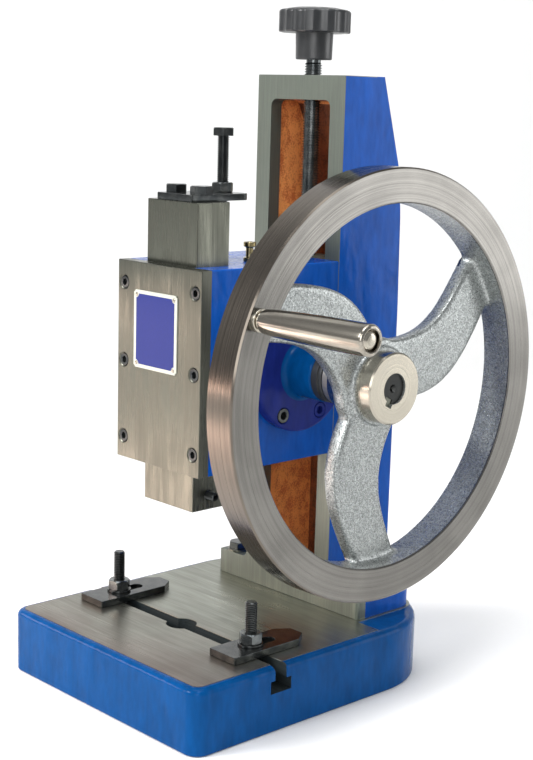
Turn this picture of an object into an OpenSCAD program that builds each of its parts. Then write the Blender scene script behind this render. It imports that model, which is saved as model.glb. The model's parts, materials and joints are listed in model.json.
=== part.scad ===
// Hand-wheel punch press: a cast base with a T-slot, a column with an adjustable
// head, and a ram driven down by a rack and a pinion on the handwheel's shaft.
// +Z is up, +X is the handwheel side, the operator stands at -Y. The origin is on
// the bench, straight below the ram's axis.

/* [Base] */
// Width of the base casting
base_w = 200; // [180:1:260]
// Distance from the ram's axis to the front of the base
base_front = 72; // [60:1:110]
// Height of the base from bench to table
base_h = 44.5; // [37:0.5:70]
// Radius of the two front corners
base_front_r = 9; // [6:1:30]
// Radius of the two rear corners
base_rear_r = 66; // [30:1:75]
// Rounding of the base's top edge
base_edge_r = 4.5; // [2:0.5:8]
// Rim of casting behind the column
base_rear_rim = 6; // [4:0.5:20]
// Wall around the hollow underside
base_wall = 14; // [8:1:24]
// Depth of the hollow underside
hollow_depth = 16; // [6:1:16]
// Diameter of the slug hole under the ram
die_hole_d = 20; // [12:0.5:24]
// Extra diameter of the slug hole where it crosses the T-slot
die_hole_relief = 1; // [0.5:0.5:4]

/* [T-slot] */
// Width of the slot's neck
slot_w = 10; // [9:0.5:14]
// Depth of the slot's neck
slot_lip = 9.5; // [6:0.5:12]
// Width of the wide part below the neck
slot_head_w = 18; // [15:0.5:24]
// Height of the wide part below the neck
slot_head_h = 8.5; // [7:0.5:12]

/* [Column] */
// Width of the column
col_w = 85; // [76:1:110]
// Height of the column above the table
col_h = 372; // [350:1:480]
// Distance from the ram's axis to the column's front face
throat = 98.5; // [92:0.5:120]
// Depth of the column at the foot
col_depth = 65.5; // [56:0.5:85]
// Depth of the column at the top
col_top_depth = 42; // [36:0.5:52]
// Height of the sloping stretch at the back of the column
slope_h = 62; // [40:1:110]
// Radius of the column's two rear corners
col_corner_r = 4; // [2:1:24]
// Wall of the column's sides and back
col_wall = 8.5; // [6:0.5:12]
// Thickness of the front rails
rail_t = 10; // [8:0.5:14]
// Width of the window between the rails
window_w = 57.5; // [48:0.5:62]
// Thickness of metal above the window
crown_h = 16.5; // [12:0.5:30]
// Width of the column's foot
foot_w = 146; // [130:1:176]
// Depth of the column's foot
foot_d = 61.5; // [56:0.5:80]
// Thickness of the column's foot
foot_h = 18; // [12:1:26]
// Radius of the foot's rear corners
foot_corner_r = 16; // [10:1:30]
// Distance from the foot's side edges to its bolts
foot_bolt_inset = 13; // [11:0.5:16]

/* [Elevating screw] */
// Diameter of the elevating screw
screw_d = 12; // [10:0.1:15]
// Diameter of the screw's plain ends
screw_journal_d = 10; // [8:0.1:10]
// Distance from the rails' front face to the screw's axis
screw_inset = 11.8; // [11:0.1:14]
// Thread showing between the column and the knob
screw_show = 10.5; // [8:0.5:30]
// Diameter of the knob
knob_d = 50; // [40:1:70]
// Height of the knob's fluted head
knob_h = 17; // [12:1:24]
// Diameter of the knob's hub
knob_hub_d = 26; // [20:1:32]
// Height of the knob's hub
knob_hub_h = 18; // [12:1:26]
// Number of flutes around the knob
knob_flutes = 10; // [6:1:14]

/* [Head] */
// Height of the head's underside above the table
head_rise = 114.5; // [90:0.5:140]
// Width of the head
head_w = 85; // [80:1:110]
// Height of the head
head_h = 134; // [124:1:170]
// Width of the lug that the screw lifts
lug_w = 27; // [24:0.5:30]
// Height of the lug that the screw lifts
lug_h = 25; // [20:1:34]
// Thickness of the cover plate
cover_t = 8.3; // [7:0.1:14]
// Height of the land on the cover's back that guides the ram
cover_land = 2; // [1:0.1:4]
// Width of the nameplate
plate_w = 44; // [30:0.5:56]
// Height of the nameplate
plate_h = 51.6; // [30:0.2:70]

/* [Ram] */
// Width of the ram
ram_w = 50.5; // [42:0.1:61]
// Depth of the ram
ram_d = 27.5; // [24:0.5:33]
// Height of the ram above the head at rest
ram_rise = 41; // [36:1:60]
// Length of the ram below the head at rest
ram_drop = 28; // [28:1:40]
// Travel of the ram down from rest
stroke_down = 27; // [10:1:33]
// Travel of the ram up from rest, until the tool screw meets the head
stroke_up = 14; // [5:1:14]
// Diameter of the tool's shank bore
tool_bore_d = 16; // [10:0.1:20]
// Depth of the tool's shank bore
tool_bore_l = 40; // [25:1:60]

/* [Rack and pinion] */
// Gear module
gear_m = 2; // [1.5:0.25:2]
// Teeth on the pinion
pinion_teeth = 20; // [18:1:20]
// Face width of the pinion
pinion_w = 27; // [18:0.5:27]
// Width of the rack
rack_w = 24; // [16:0.5:24]
// Height of the shaft's axis above the head's underside
shaft_rise = 64; // [60:1:70]
// Distance from the ram's axis to the shaft's axis
shaft_y = 60.5; // [56:0.5:62]
// Diameter of the shaft
shaft_d = 20; // [16:0.1:24]

/* [Bearing housing] */
// Diameter of the housing's flange
flange_d = 84; // [76:1:90]
// Thickness of the housing's flange
flange_t = 7.5; // [7:0.5:12]
// Diameter of the housing's boss
boss_d = 36; // [32:1:43]
// Length of the housing's boss
boss_l = 24.5; // [16:0.5:34]
// Radius of the housing's bolt circle
housing_bolt_r = 34; // [33:0.5:36]
// Thickness of the black sealing ring
seal_t = 9; // [5:0.5:12]

/* [Handwheel] */
// Diameter of the handwheel
wheel_d = 276.4; // [200:0.2:332]
// Radial width of the rim
rim_w = 22; // [18:0.1:27]
// Thickness of the rim
rim_t = 22.2; // [14:0.1:27]
// Diameter of the hub
hub_d = 46.4; // [40:0.1:56]
// Length of the hub
hub_l = 42; // [38:0.5:52]
// Thickness of the spokes
spoke_t = 12; // [8:0.5:16]
// Distance from the hub's front face to the spokes' front face
spoke_inset = 14; // [8:0.5:18]
// Number of spokes
spokes = 3; // [2:1:4]

/* [Handle] */
// Angle of the handle around the shaft, from the rear towards the top
handle_angle = 155.8; // [0:0.1:360]
// Distance from the rim's outer edge to the handle's axis
handle_inset = 8.7; // [8:0.1:13]
// Length of the turning grip
grip_l = 82.5; // [60:0.5:110]
// Diameter of the grip at its root
grip_root_d = 15; // [13:0.5:20]
// Diameter of the grip at its end
grip_end_d = 18; // [17:0.5:26]
// Diameter of the grip's spindle
spindle_d = 8; // [6:0.1:9]

/* [Stop] */
// Length of the stop bolt under its head
stop_l = 55; // [48:1:80]
// Distance from the ram's axis back to the stop bolt
stop_y = 29; // [24:0.5:30]
// Thickness of the plate on top of the ram
top_plate_t = 4.5; // [3:0.5:8]
// Width of the plate on top of the ram
top_plate_w = 35; // [30:1:44]

/* [Clamps] */
// Position of the left clamp along the T-slot
left_clamp_x = -70; // [-80:1:-45]
// Position of the right clamp along the T-slot
right_clamp_x = 70; // [45:1:80]
// Width of a clamp strap
strap_w = 25; // [20:0.5:32]
// Length of a clamp strap
strap_l = 67; // [52:1:90]
// Thickness of a clamp strap
strap_t = 5; // [4:0.5:10]
// Height of the studs above the straps
stud_rise = 29.5; // [18:0.5:40]

/* [Fits] */
// Radial clearance of turning fits
turn_gap = 0.05; // [0.02:0.01:0.1]
// Clearance between flat sliding faces
slide_gap = 0.1; // [0.05:0.05:0.2]
// Radial clearance of a screw in its hole
screw_gap = 0.1; // [0.05:0.05:0.2]
// Clearance around what stands free of its neighbours
free_gap = 0.5; // [0.3:0.1:0.8]

/* [Hidden] */
$fn = 64;

// Paints, metals and plastics
base_blue = "#0F62AE";
machine_blue = "#2350A5";
housing_blue = "#3348A0";
ground_grey = "#84897F";
bright_steel = "#A2A29A";
silver_paint = "#A9ADAF";
black_oxide = "#1E1C1B";
black_plastic = "#202224";
bronze = "#A5803C";
brass = "#B79A55";
plate_blue = "#1E3A9E";

// Standard fasteners: [thread, width across flats or head diameter, head height]
m8_hex = [8, 13, 5.3];
m6_hex = [6, 10, 4];
m6_cap = [6, 10, 6];
m5_cap = [5, 8.5, 5];
m8_nut = [8, 14, 7];
m8_stop_nut = [8, 13, 6.5];
m8_washer = [8.6, 17, 1.6]; // bore, diameter, thickness
cap_socket = 0.83; // socket's flats as a share of the thread
m8_grip = 15; // thread of an M8 bolt in its hole
m6_grip = 12;
m5_grip = 12;
hole_end = 1; // hole left beyond a screw's end
seat_gap = 0.3; // between a piece and the stop it comes up to
cut = 1; // how far cuts run past a face

// Heights
table_z = base_h;
foot_z = table_z + foot_h;
col_top = table_z + col_h;
window_top = col_top - crown_h;
window_step = 6;
window_bottom = foot_z + window_step;
window_chamfer = 4;
head_z = table_z + head_rise;
head_top = head_z + head_h;
lug_z = head_top - lug_h;
ram_z = head_z - ram_drop;
ram_top = head_top + ram_rise;
ram_l = ram_top - ram_z;
shaft_z = head_z + shaft_rise;
slot_head_z = table_z - slot_lip - slot_head_h;
knob_z = col_top + screw_show;

// Depths along Y
base_rear = throat + col_depth + base_rear_rim;
rail_back = throat + rail_t;
screw_y = throat + screw_inset;
head_front = -ram_d / 2 - cover_land;
cover_front = head_front - cover_t;
head_back = throat - slide_gap;
keeper_y = rail_back + slide_gap;
keeper_t = 10;
lug_back = screw_y + lug_w / 2;

// Widths in the column
cavity_w = col_w - 2 * col_wall;
tongue_w = window_w - 2 * slide_gap;

// Rack and pinion: the pinion's pitch circle rolls on the rack's pitch line
pitch_r = gear_m * pinion_teeth / 2;
pitch = PI * gear_m;
pressure = 20;
backlash = 0.12; // thinning of each tooth
dedendum = 1.25 * gear_m;
tip_r = pitch_r + gear_m;
rack_line = shaft_y - pitch_r;
rack_tip = rack_line + gear_m;
rack_root = rack_line - dedendum;
rack_teeth_up = ceil((stroke_down + 2 * gear_m) / pitch) + 1;
rack_teeth_down = ceil((stroke_up + 2 * gear_m) / pitch) + 1;
rack_z = shaft_z - rack_teeth_down * pitch;
rack_l = (rack_teeth_up + rack_teeth_down) * pitch;
rack_room_top = rack_z + rack_l + stroke_up + 0.8;
chamber_r = tip_r + 3;
chamber_left = pinion_w / 2 + free_gap;

// Places along X of what stands on the shaft
flange_x = head_w / 2;
boss_x = flange_x + flange_t;
seal_x = boss_x + boss_l;
collar_x = seal_x + seal_t + free_gap;
collar_t = 6;
hub_x = collar_x + collar_t;
wheel_x = hub_x + hub_l;
rim_in = wheel_d / 2 - rim_w;
web_x = wheel_x - spoke_inset - spoke_t;
web_disc_r = hub_d / 2 + 7.8;
bush_d = shaft_d + 4;
outer_bush_l = 30;
inner_bush_l = 23;
key_w = 6;
key_depth = 3.5; // how far the key sinks into the shaft
key_rise = 2.6; // how far it stands out of the shaft
key_l = 34;
key_angle = 243;
handle_r = wheel_d / 2 - handle_inset;
spindle_seat = 15; // length of the spindle in the rim
grip_x = 5; // from the rim to the grip

// Fastener places
column_bolt_xy = [for (s = [-1, 1], y = [8, foot_d - 10])
    [s * (foot_w / 2 - foot_bolt_inset), throat + y]];
cover_screw_xz = [for (s = [-1, 1], t = [-1, 0, 1])
    [s * (head_w / 2 - 6.5), head_z + head_h / 2 + t * (head_h / 2 - 14.7)]];
keeper_bolt_x = cavity_w / 2 - 12;
keeper_bolt_z = [for (t = [0, 0.5, 1]) head_z + 16 + t * (head_h - lug_h - 32)];
housing_bolt_angles = [60, 120, 240, 300];
rack_screw_z = [rack_z + 8, rack_z + rack_l / 2, rack_z + rack_l - 8];
rack_screw_seat = 8; // metal under a rack screw's head
top_bolt_x = 12.5;
tool_screw_z = ram_z + 10;
oil_cup_xy = [13, 43];

// Nameplate
plate_x = -2.6;
plate_z = head_top - 18.3 - plate_h / 2;
plate_t = 0.8;
rivet_inset = 3;
rivet_d = 1.5;
rivet_l = 3;
rivet_xz = [for (s = [-1, 1], t = [-1, 1])
    [plate_x + s * (plate_w / 2 - rivet_inset), plate_z + t * (plate_h / 2 - rivet_inset)]];

// Clamps
strap_z = table_z + slide_gap;
strap_top = strap_z + strap_t;
washer_z = strap_top + slide_gap;
washer_top = washer_z + m8_washer[2];
strap_front = 0.37 * strap_l; // the stud stands nearer the strap's front end
strap_slot_l = 16;

// ---------------------------------------------------------------- helpers

// Local x, y, z point along Y, Z and X
module along_x() { rotate([90, 0, 90]) children(); }

// Children stand on the shaft's axis, their z along X
module on_shaft() { translate([0, shaft_y, shaft_z]) along_x() children(); }

// Children stand at a point on a face that looks towards -Y, their z into the part
module into_y(p, y) { translate([p.x, y, p.y]) rotate([-90, 0, 0]) children(); }

// A round bar from height z0 to z1
module bar(d, z0, z1) { translate([0, 0, z0]) cylinder(d = d, h = z1 - z0); }

// A ring from height z0 to z1
module ring(d_out, d_in, z0, z1) {
    difference() {
        bar(d_out, z0, z1);
        bar(d_in, z0 - cut, z1 + cut);
    }
}

// A screw's hole from height z0 to z1
module screw_hole(size, z0, z1) { bar(size[0] + 2 * screw_gap, z0, z1); }

module hexagon(flats, h) { cylinder(d = flats / cos(30), h = h, $fn = 6); }

// Hexagon of height h with its corners taken off by a cone at the top,
// and at the bottom too when both is set
module hex_head(flats, h, both) {
    drop = h * 0.17;
    corner = flats * 0.58;
    intersection() {
        hexagon(flats, h);
        rotate_extrude()
            polygon(concat([[0, 0]],
                           both ? [[flats / 2, 0], [corner, drop]] : [[corner, 0]],
                           [[corner, h - drop], [flats / 2, h], [0, h]]));
    }
}

// A hexagon-head bolt hanging down from the seat of its head
module hex_bolt(size, length) {
    bar(size[0], -length, size[2] / 2);
    hex_head(size[1], size[2], false);
}

// A socket-head cap screw hanging down from the seat of its head
module cap_screw(size, length) {
    bar(size[0], -length, size[2] / 2);
    difference() {
        bar(size[1], 0, size[2]);
        translate([0, 0, size[2] / 2]) hexagon(size[0] * cap_socket, size[2]);
    }
}

module hex_nut(size) {
    difference() {
        hex_head(size[1], size[2], true);
        screw_hole(size, -cut, size[2] + cut);
    }
}

// A rounded plan: corners of radius r_front at y0 and r_back at y1
module plan(w, y0, y1, r_front, r_back) {
    for (s = [-1, 1]) {
        translate([s * (w / 2 - r_front), y0 + r_front]) circle(r_front);
        translate([s * (w / 2 - r_back), y1 - r_back]) circle(r_back);
    }
    translate([-w / 2, y0 + r_front]) square([w, y1 - y0 - r_front - r_back]);
    translate([-w / 2 + r_front, y0]) square([w - 2 * r_front, y1 - y0 - r_back]);
    translate([-w / 2 + r_back, y0 + r_front]) square([w - 2 * r_back, y1 - y0 - r_front]);
}

// Corner arc about c from angle a0 to a1 as points at height z
function arc(c, r, a0, a1, steps, z) = [for (i = [0:steps])
    let (a = a0 + (a1 - a0) * i / steps) [c.x + r * cos(a), c.y + r * sin(a), z]];

// Solid skin through rings of points that all have the same length
module loft(rings) {
    n = len(rings[0]);
    m = len(rings);
    polyhedron(
        points = [for (r = rings) each r],
        faces = concat(
            [[for (i = [0:n - 1]) i]],
            [[for (i = [n - 1:-1:0]) (m - 1) * n + i]],
            [for (k = [0:m - 2], i = [0:n - 1])
                let (j = (i + 1) % n)
                [k * n + i, (k + 1) * n + i, (k + 1) * n + j, k * n + j]]));
}

function bezier(p, t) = pow(1 - t, 3) * p[0] + 3 * t * pow(1 - t, 2) * p[1]
                        + 3 * t * t * (1 - t) * p[2] + pow(t, 3) * p[3];
function curve(p, steps) = [for (i = [0:steps]) bezier(p, i / steps)];
function flip(p) = [for (i = [len(p) - 1:-1:0]) p[i]];
function polar(r, a) = [r * cos(a), r * sin(a)];

// ------------------------------------------------------------------ stand

// Outline of the base casting at height z, drawn in by inset all round
function base_ring(inset, z) = let (
    front = [base_w / 2 - base_front_r, base_front_r - base_front],
    rear = [base_w / 2 - base_rear_r, base_rear - base_rear_r])
    concat(arc([-front.x, front.y], base_front_r - inset, 180, 270, 8, z),
           arc(front, base_front_r - inset, 270, 360, 8, z),
           arc(rear, base_rear_r - inset, 0, 90, 20, z),
           arc([-rear.x, rear.y], base_rear_r - inset, 90, 180, 20, z));

module base() {
    color(base_blue)
    difference() {
        // the top edge rolls over on a quarter round
        loft(concat([base_ring(0, 0)],
                    [for (a = [0:18:90])
                        base_ring(base_edge_r * (1 - cos(a)), base_h - base_edge_r * (1 - sin(a)))]));
        // hollow underside
        translate([0, 0, -cut]) linear_extrude(hollow_depth + cut)
            plan(base_w - 2 * base_wall, base_wall - base_front, base_rear - base_wall,
                 max(base_front_r - base_wall, 4), base_rear_r - base_wall);
        // T-slot, open at both sides
        translate([-base_w, -slot_w / 2, slot_head_z + cut])
            cube([2 * base_w, slot_w, base_h]);
        translate([-base_w, -slot_head_w / 2, slot_head_z])
            cube([2 * base_w, slot_head_w, slot_head_h]);
        bar(die_hole_d, -cut, slot_head_z + cut);
        bar(die_hole_d + die_hole_relief, slot_head_z, base_h + cut);
        for (p = column_bolt_xy)
            translate([p.x, p.y, 0]) screw_hole(m8_hex, table_z - m8_grip - hole_end, table_z + cut);
    }
}

// Outline of the column at height z with its back at depth d
function column_ring(d, z) = let (
    x = col_w / 2 - col_corner_r,
    y = throat + d - col_corner_r)
    concat([[-col_w / 2, throat, z], [col_w / 2, throat, z]],
           arc([x, y], col_corner_r, 0, 90, 8, z),
           arc([-x, y], col_corner_r, 90, 180, 8, z));

// Where the back starts to lean in: heights, with the depth lost by then
slope_z = col_top - slope_h;
lean = [[slope_z - 100, 0], [slope_z - 30, 1.5], [slope_z, 5]];

module column_shell() {
    loft(concat([column_ring(col_depth, table_z)],
                [for (s = lean) column_ring(col_depth - s[1], s[0])],
                [column_ring(col_top_depth, col_top)]));
}

// The cavity follows the back of the shell, a wall's thickness inside it
module column_cavity() {
    back = throat + col_depth - col_wall;
    along_x() translate([0, 0, -cavity_w / 2]) linear_extrude(cavity_w)
        polygon(concat([[rail_back, table_z - cut], [back, table_z - cut]],
                       [for (s = lean) [back - s[1], s[0]]],
                       [[throat + col_top_depth - 1.2 * col_wall, window_top], [rail_back, window_top]]));
}

// Window between the rails, with its top corners cut off
module window() {
    half = window_w / 2;
    translate([0, rail_back + cut, 0]) rotate([90, 0, 0]) linear_extrude(rail_t + 2 * cut)
        polygon([[-half, window_bottom], [half, window_bottom], [half, window_top - window_chamfer],
                 [half - window_chamfer, window_top], [window_chamfer - half, window_top],
                 [-half, window_top - window_chamfer]]);
}

module column() {
    color(machine_blue)
    difference() {
        union() {
            column_shell();
            translate([0, 0, table_z]) linear_extrude(foot_h)
                plan(foot_w, throat, throat + foot_d, 3, foot_corner_r);
        }
        column_cavity();
        window();
        // threaded bore for the elevating screw
        translate([0, screw_y, 0]) bar(screw_d + 2 * turn_gap, window_top - cut, col_top + cut);
        for (p = column_bolt_xy)
            translate([p.x, p.y, 0]) bar(m8_hex[0] + 2 * free_gap, table_z - cut, foot_z + cut);
    }
}

module column_bolts() {
    color(black_oxide)
    for (p = column_bolt_xy)
        translate([p.x, p.y, foot_z + m8_washer[2]]) hex_bolt(m8_hex, foot_h + m8_washer[2] + m8_grip);
}

module column_washers() {
    color(bright_steel)
    for (p = column_bolt_xy)
        translate([p.x, p.y, 0]) ring(m8_washer[1], m8_washer[0], foot_z, foot_z + m8_washer[2]);
}

// ------------------------------------------------------------------- head

module head_block() {
    translate([-head_w / 2, head_front, head_z])
        cube([head_w, head_back - head_front, head_h]);
    // tongue that fills the window, and the lug that the screw lifts
    translate([-tongue_w / 2, head_back - cut, head_z])
        cube([tongue_w, keeper_y - head_back + cut, head_h]);
    translate([-lug_w / 2, head_back - cut, lug_z])
        cube([lug_w, lug_back - head_back + cut, lug_h]);
}

// Guideway for the ram, and room behind it for the rack: the room is closed
// at the top, where the stop bolt lands
module ram_room() {
    translate([-ram_w / 2 - slide_gap, head_front - cut, head_z - cut])
        cube([ram_w + 2 * slide_gap, ram_d / 2 + slide_gap - head_front + cut, head_h + 2 * cut]);
    translate([-rack_w / 2 - free_gap, 0, head_z - cut])
        cube([rack_w + 2 * free_gap, rack_tip + free_gap, rack_room_top - head_z + cut]);
}

collar_h = 10;
collar_d = lug_w - 9;
collar_room_d = collar_d + 2;
oil_cup_d = 6;
oil_cup_seat = 5;

module head() {
    color(machine_blue)
    difference() {
        head_block();
        ram_room();
        on_shaft() {
            bar(2 * chamber_r, -chamber_left, head_w);
            bar(bush_d, -chamber_left - inner_bush_l, head_w);
            for (a = housing_bolt_angles)
                translate(polar(housing_bolt_r, a)) screw_hole(m6_cap, flange_x - 16, head_w);
        }
        // journal bore, and room for the collar below the lug
        translate([0, screw_y, 0]) {
            bar(screw_journal_d + 2 * turn_gap, lug_z - cut, head_top + cut);
            bar(collar_room_d, lug_z - 30, lug_z);
        }
        for (p = cover_screw_xz)
            into_y(p, head_front) screw_hole(m5_cap, -cut, m5_grip + hole_end);
        for (s = [-1, 1], z = keeper_bolt_z)
            into_y([s * keeper_bolt_x, z], keeper_y) screw_hole(m6_hex, -m6_grip - hole_end, cut);
        translate([oil_cup_xy.x, oil_cup_xy.y, head_top])
            bar(oil_cup_d + 2 * screw_gap, -oil_cup_seat - hole_end, cut);
    }
}

// Strip bolted to the tongue's back that reaches behind one rail
module keeper(side) {
    inner = lug_w / 2 + free_gap;
    outer = cavity_w / 2 - free_gap;
    end_gap = 4;
    color(ground_grey)
    difference() {
        translate([side > 0 ? inner : -outer, keeper_y, head_z + end_gap])
            cube([outer - inner, keeper_t, head_h - 2 * end_gap]);
        for (z = keeper_bolt_z)
            into_y([side * keeper_bolt_x, z], keeper_y) screw_hole(m6_hex, -cut, keeper_t + cut);
    }
}

module left_keeper() { keeper(-1); }
module right_keeper() { keeper(1); }

module keeper_bolts() {
    color(black_oxide)
    for (s = [-1, 1], z = keeper_bolt_z)
        into_y([s * keeper_bolt_x, z], keeper_y + keeper_t) hex_bolt(m6_hex, keeper_t + m6_grip);
}

cap_recess = m5_cap[2] + 0.2;

module cover_plate() {
    color(bright_steel)
    difference() {
        union() {
            translate([-head_w / 2, cover_front, head_z]) cube([head_w, cover_t, head_h]);
            // land that fills the mouth of the guideway up to the ram
            translate([-ram_w / 2, head_front - cut, head_z])
                cube([ram_w, cover_land - slide_gap + cut, head_h]);
        }
        for (p = cover_screw_xz) into_y(p, cover_front) {
            bar(m5_cap[1] + 2 * seat_gap, -cut, cap_recess);
            screw_hole(m5_cap, 0, cover_t + cut);
        }
        for (p = rivet_xz) into_y(p, cover_front) bar(rivet_d + 2 * screw_gap, -cut, rivet_l);
    }
}

module cover_screws() {
    color(black_oxide)
    for (p = cover_screw_xz)
        into_y(p, cover_front + cap_recess) mirror([0, 0, 1])
            cap_screw(m5_cap, cover_t - cap_recess + m5_grip);
}

// Blank plate with scooped corners
module nameplate() {
    scoop_d = 3;
    color(plate_blue)
    difference() {
        translate([plate_x - plate_w / 2, cover_front - plate_t, plate_z - plate_h / 2])
            cube([plate_w, plate_t, plate_h]);
        for (s = [-1, 1], t = [-1, 1])
            into_y([plate_x + s * plate_w / 2, plate_z + t * plate_h / 2], cover_front)
                bar(scoop_d, -plate_t - cut, cut);
        for (p = rivet_xz) into_y(p, cover_front) bar(rivet_d + 2 * screw_gap, -plate_t - cut, cut);
    }
}

module nameplate_rivets() {
    head_d = 2.8;
    head_t = 0.7;
    color(brass)
    for (p = rivet_xz) into_y(p, cover_front) {
        bar(head_d, -plate_t - head_t, -plate_t);
        bar(rivet_d, -plate_t - head_t / 2, rivet_l - hole_end);
    }
}

module bearing_housing() {
    spigot_gap = 0.05;
    color(housing_blue)
    difference() {
        on_shaft() {
            bar(2 * (chamber_r - spigot_gap), chamber_left, boss_x);
            bar(flange_d, flange_x, boss_x);
            bar(boss_d, boss_x - cut, seal_x);
        }
        on_shaft() {
            bar(shaft_d + 2 * free_gap, 0, seal_x + cut);
            bar(bush_d, seal_x - outer_bush_l, seal_x + cut);
            for (a = housing_bolt_angles) translate(polar(housing_bolt_r, a)) {
                screw_hole(m6_cap, 0, boss_x + cut);
                bar(m6_cap[1] + 0.8, boss_x - m6_cap[2], boss_x + cut);
            }
        }
        // flat that keeps the flange clear of the column
        translate([0, head_back - slide_gap, shaft_z - flange_d])
            cube([2 * boss_x, flange_d, 2 * flange_d]);
    }
}

module housing_screws() {
    color(black_oxide)
    on_shaft() for (a = housing_bolt_angles)
        translate(concat(polar(housing_bolt_r, a), boss_x - m6_cap[2])) cap_screw(m6_cap, m6_grip + 2);
}

// Bush round the shaft from x0 to x1
module bush(x0, x1) {
    color(bronze) on_shaft() ring(bush_d - 2 * turn_gap, shaft_d + 2 * turn_gap, x0, x1);
}

module outer_bush() { bush(seal_x - outer_bush_l, seal_x); }
module inner_bush() { bush(-chamber_left - inner_bush_l, -chamber_left); }

module seal_ring() {
    color(black_plastic)
    on_shaft() ring(boss_d - 1, shaft_d + 4 * turn_gap, seal_x, seal_x + seal_t);
}

module oil_cup() {
    flange = [8.4, 2.6]; // diameter, height
    lid_z = 10;
    top_z = 13;
    color(brass)
    translate([oil_cup_xy.x, oil_cup_xy.y, head_top]) {
        bar(oil_cup_d, -oil_cup_seat, cut);
        bar(flange[0], 0, flange[1]);
        bar(oil_cup_d + 0.6, 0, lid_z + cut);
        difference() {
            bar(flange[0], lid_z, top_z);
            // dimple that the ball sits in
            translate([0, 0, top_z + 0.6]) sphere(2.4);
        }
    }
}

// ------------------------------------------------------------------ screw

module elevating_screw() {
    journal_r = screw_journal_d / 2;
    seat_z = head_top + seat_gap;
    end_z = lug_z - collar_h - 4;
    runout = 1.5;
    color(black_oxide)
    translate([0, screw_y, 0]) rotate_extrude()
        polygon([[0, end_z], [journal_r, end_z], [journal_r, seat_z], [screw_d / 2, seat_z],
                 [screw_d / 2, knob_z - 2 * runout], [journal_r, knob_z - runout],
                 [journal_r, knob_z + knob_hub_h], [0, knob_z + knob_hub_h]]);
}

module height_knob() {
    top = knob_h + knob_hub_h;
    r = knob_d / 2;
    flute_r = 9;
    flute_depth = 1.4;
    crown = 1.6;
    color(black_plastic)
    translate([0, screw_y, knob_z])
    difference() {
        union() {
            bar(knob_hub_d, 0, knob_hub_h + cut);
            intersection() {
                rotate_extrude()
                    polygon([[0, knob_hub_h], [r - 1, knob_hub_h], [r, knob_hub_h + 1],
                             [r, top - crown - 1], [r - 0.8, top - crown],
                             [r / 2, top - crown / 4], [0, top]]);
                // shallow flutes around the rim
                linear_extrude(top + cut) difference() {
                    circle(d = knob_d + cut);
                    for (i = [0:knob_flutes - 1])
                        translate(polar(r + flute_r - flute_depth, i * 360 / knob_flutes)) circle(flute_r);
                }
            }
        }
        bar(screw_journal_d + 2 * screw_gap, -cut, knob_hub_h + screw_gap);
    }
}

collar_pin_d = 3;
collar_top = lug_z - seat_gap;

// Children lie along X through the middle of the collar
module across_collar() { translate([0, screw_y, collar_top - collar_h / 2]) along_x() children(); }

module screw_collar() {
    color(bright_steel)
    difference() {
        translate([0, screw_y, 0])
            ring(collar_d, screw_journal_d + 2 * screw_gap, collar_top - collar_h, collar_top);
        across_collar() bar(collar_pin_d + 2 * screw_gap, -collar_d, collar_d);
    }
}

// The two ends of the pin, which show on either side of the screw's journal
module collar_pin() {
    color(black_oxide)
    difference() {
        across_collar() bar(collar_pin_d, -collar_d / 2, collar_d / 2);
        translate([0, screw_y, 0])
            bar(screw_journal_d + 2 * screw_gap, collar_top - collar_h, collar_top);
    }
}

// ------------------------------------------------------------------ wheel

// One curved spoke, drawn in the wheel's plane: its two edges are curves
// from the hub to the rim
module spoke() {
    k = (wheel_d / 2 - rim_w / 2) / 127;
    leading = curve([[12, 28], [60 * k, 27 * k], [66 * k, 50 * k], [96 * k, 88 * k]], 14);
    trailing = curve([[29, -12], [64 * k, -12 * k], [82 * k, 2 * k], [108 * k, 48 * k]], 14);
    polygon(concat([[0, 0]], trailing, flip(leading)));
}

// Section of the rim, with all four edges broken
module rim_section() {
    r = wheel_d / 2;
    rim_x = wheel_x - rim_t;
    polygon([[rim_in + 1, rim_x], [r - 1, rim_x], [r, rim_x + 1], [r, wheel_x - 1], [r - 1, wheel_x],
             [rim_in + 1, wheel_x], [rim_in, wheel_x - 1], [rim_in, rim_x + 1]]);
}

module hub_section() {
    r = hub_d / 2;
    polygon([[0, hub_x], [r - 4, hub_x], [r - 2, web_x], [r, web_x + spoke_t],
             [r, wheel_x - 1], [r - 1, wheel_x], [0, wheel_x]]);
}

module handwheel() {
    color(silver_paint)
    on_shaft() difference() {
        union() {
            rotate_extrude($fn = 128) rim_section();
            rotate_extrude() hub_section();
            translate([0, 0, web_x]) linear_extrude(spoke_t) {
                circle(web_disc_r);
                for (i = [0:spokes - 1]) rotate(i * 360 / spokes) intersection() {
                    spoke();
                    circle(rim_in + 2, $fn = 128);
                }
            }
        }
        bar(shaft_d + 2 * turn_gap, hub_x - cut, wheel_x + cut);
        rotate(key_angle) translate([0, -key_w / 2 - turn_gap, hub_x - cut])
            cube([shaft_d / 2 + key_rise + 2 * turn_gap, key_w + 2 * turn_gap, hub_l + 2 * cut]);
        set_screw_place() screw_hole(m6_cap, 0, hub_d);
        translate(polar(handle_r, handle_angle))
            screw_hole([spindle_d], wheel_x - spindle_seat - hole_end, wheel_x + cut);
    }
}

// Angle, in degrees, by which an involute has turned at radius r
function involute(r, base) = let (c = min(1, base / r), a = acos(c)) (tan(a) - a * PI / 180) * 180 / PI;

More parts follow.
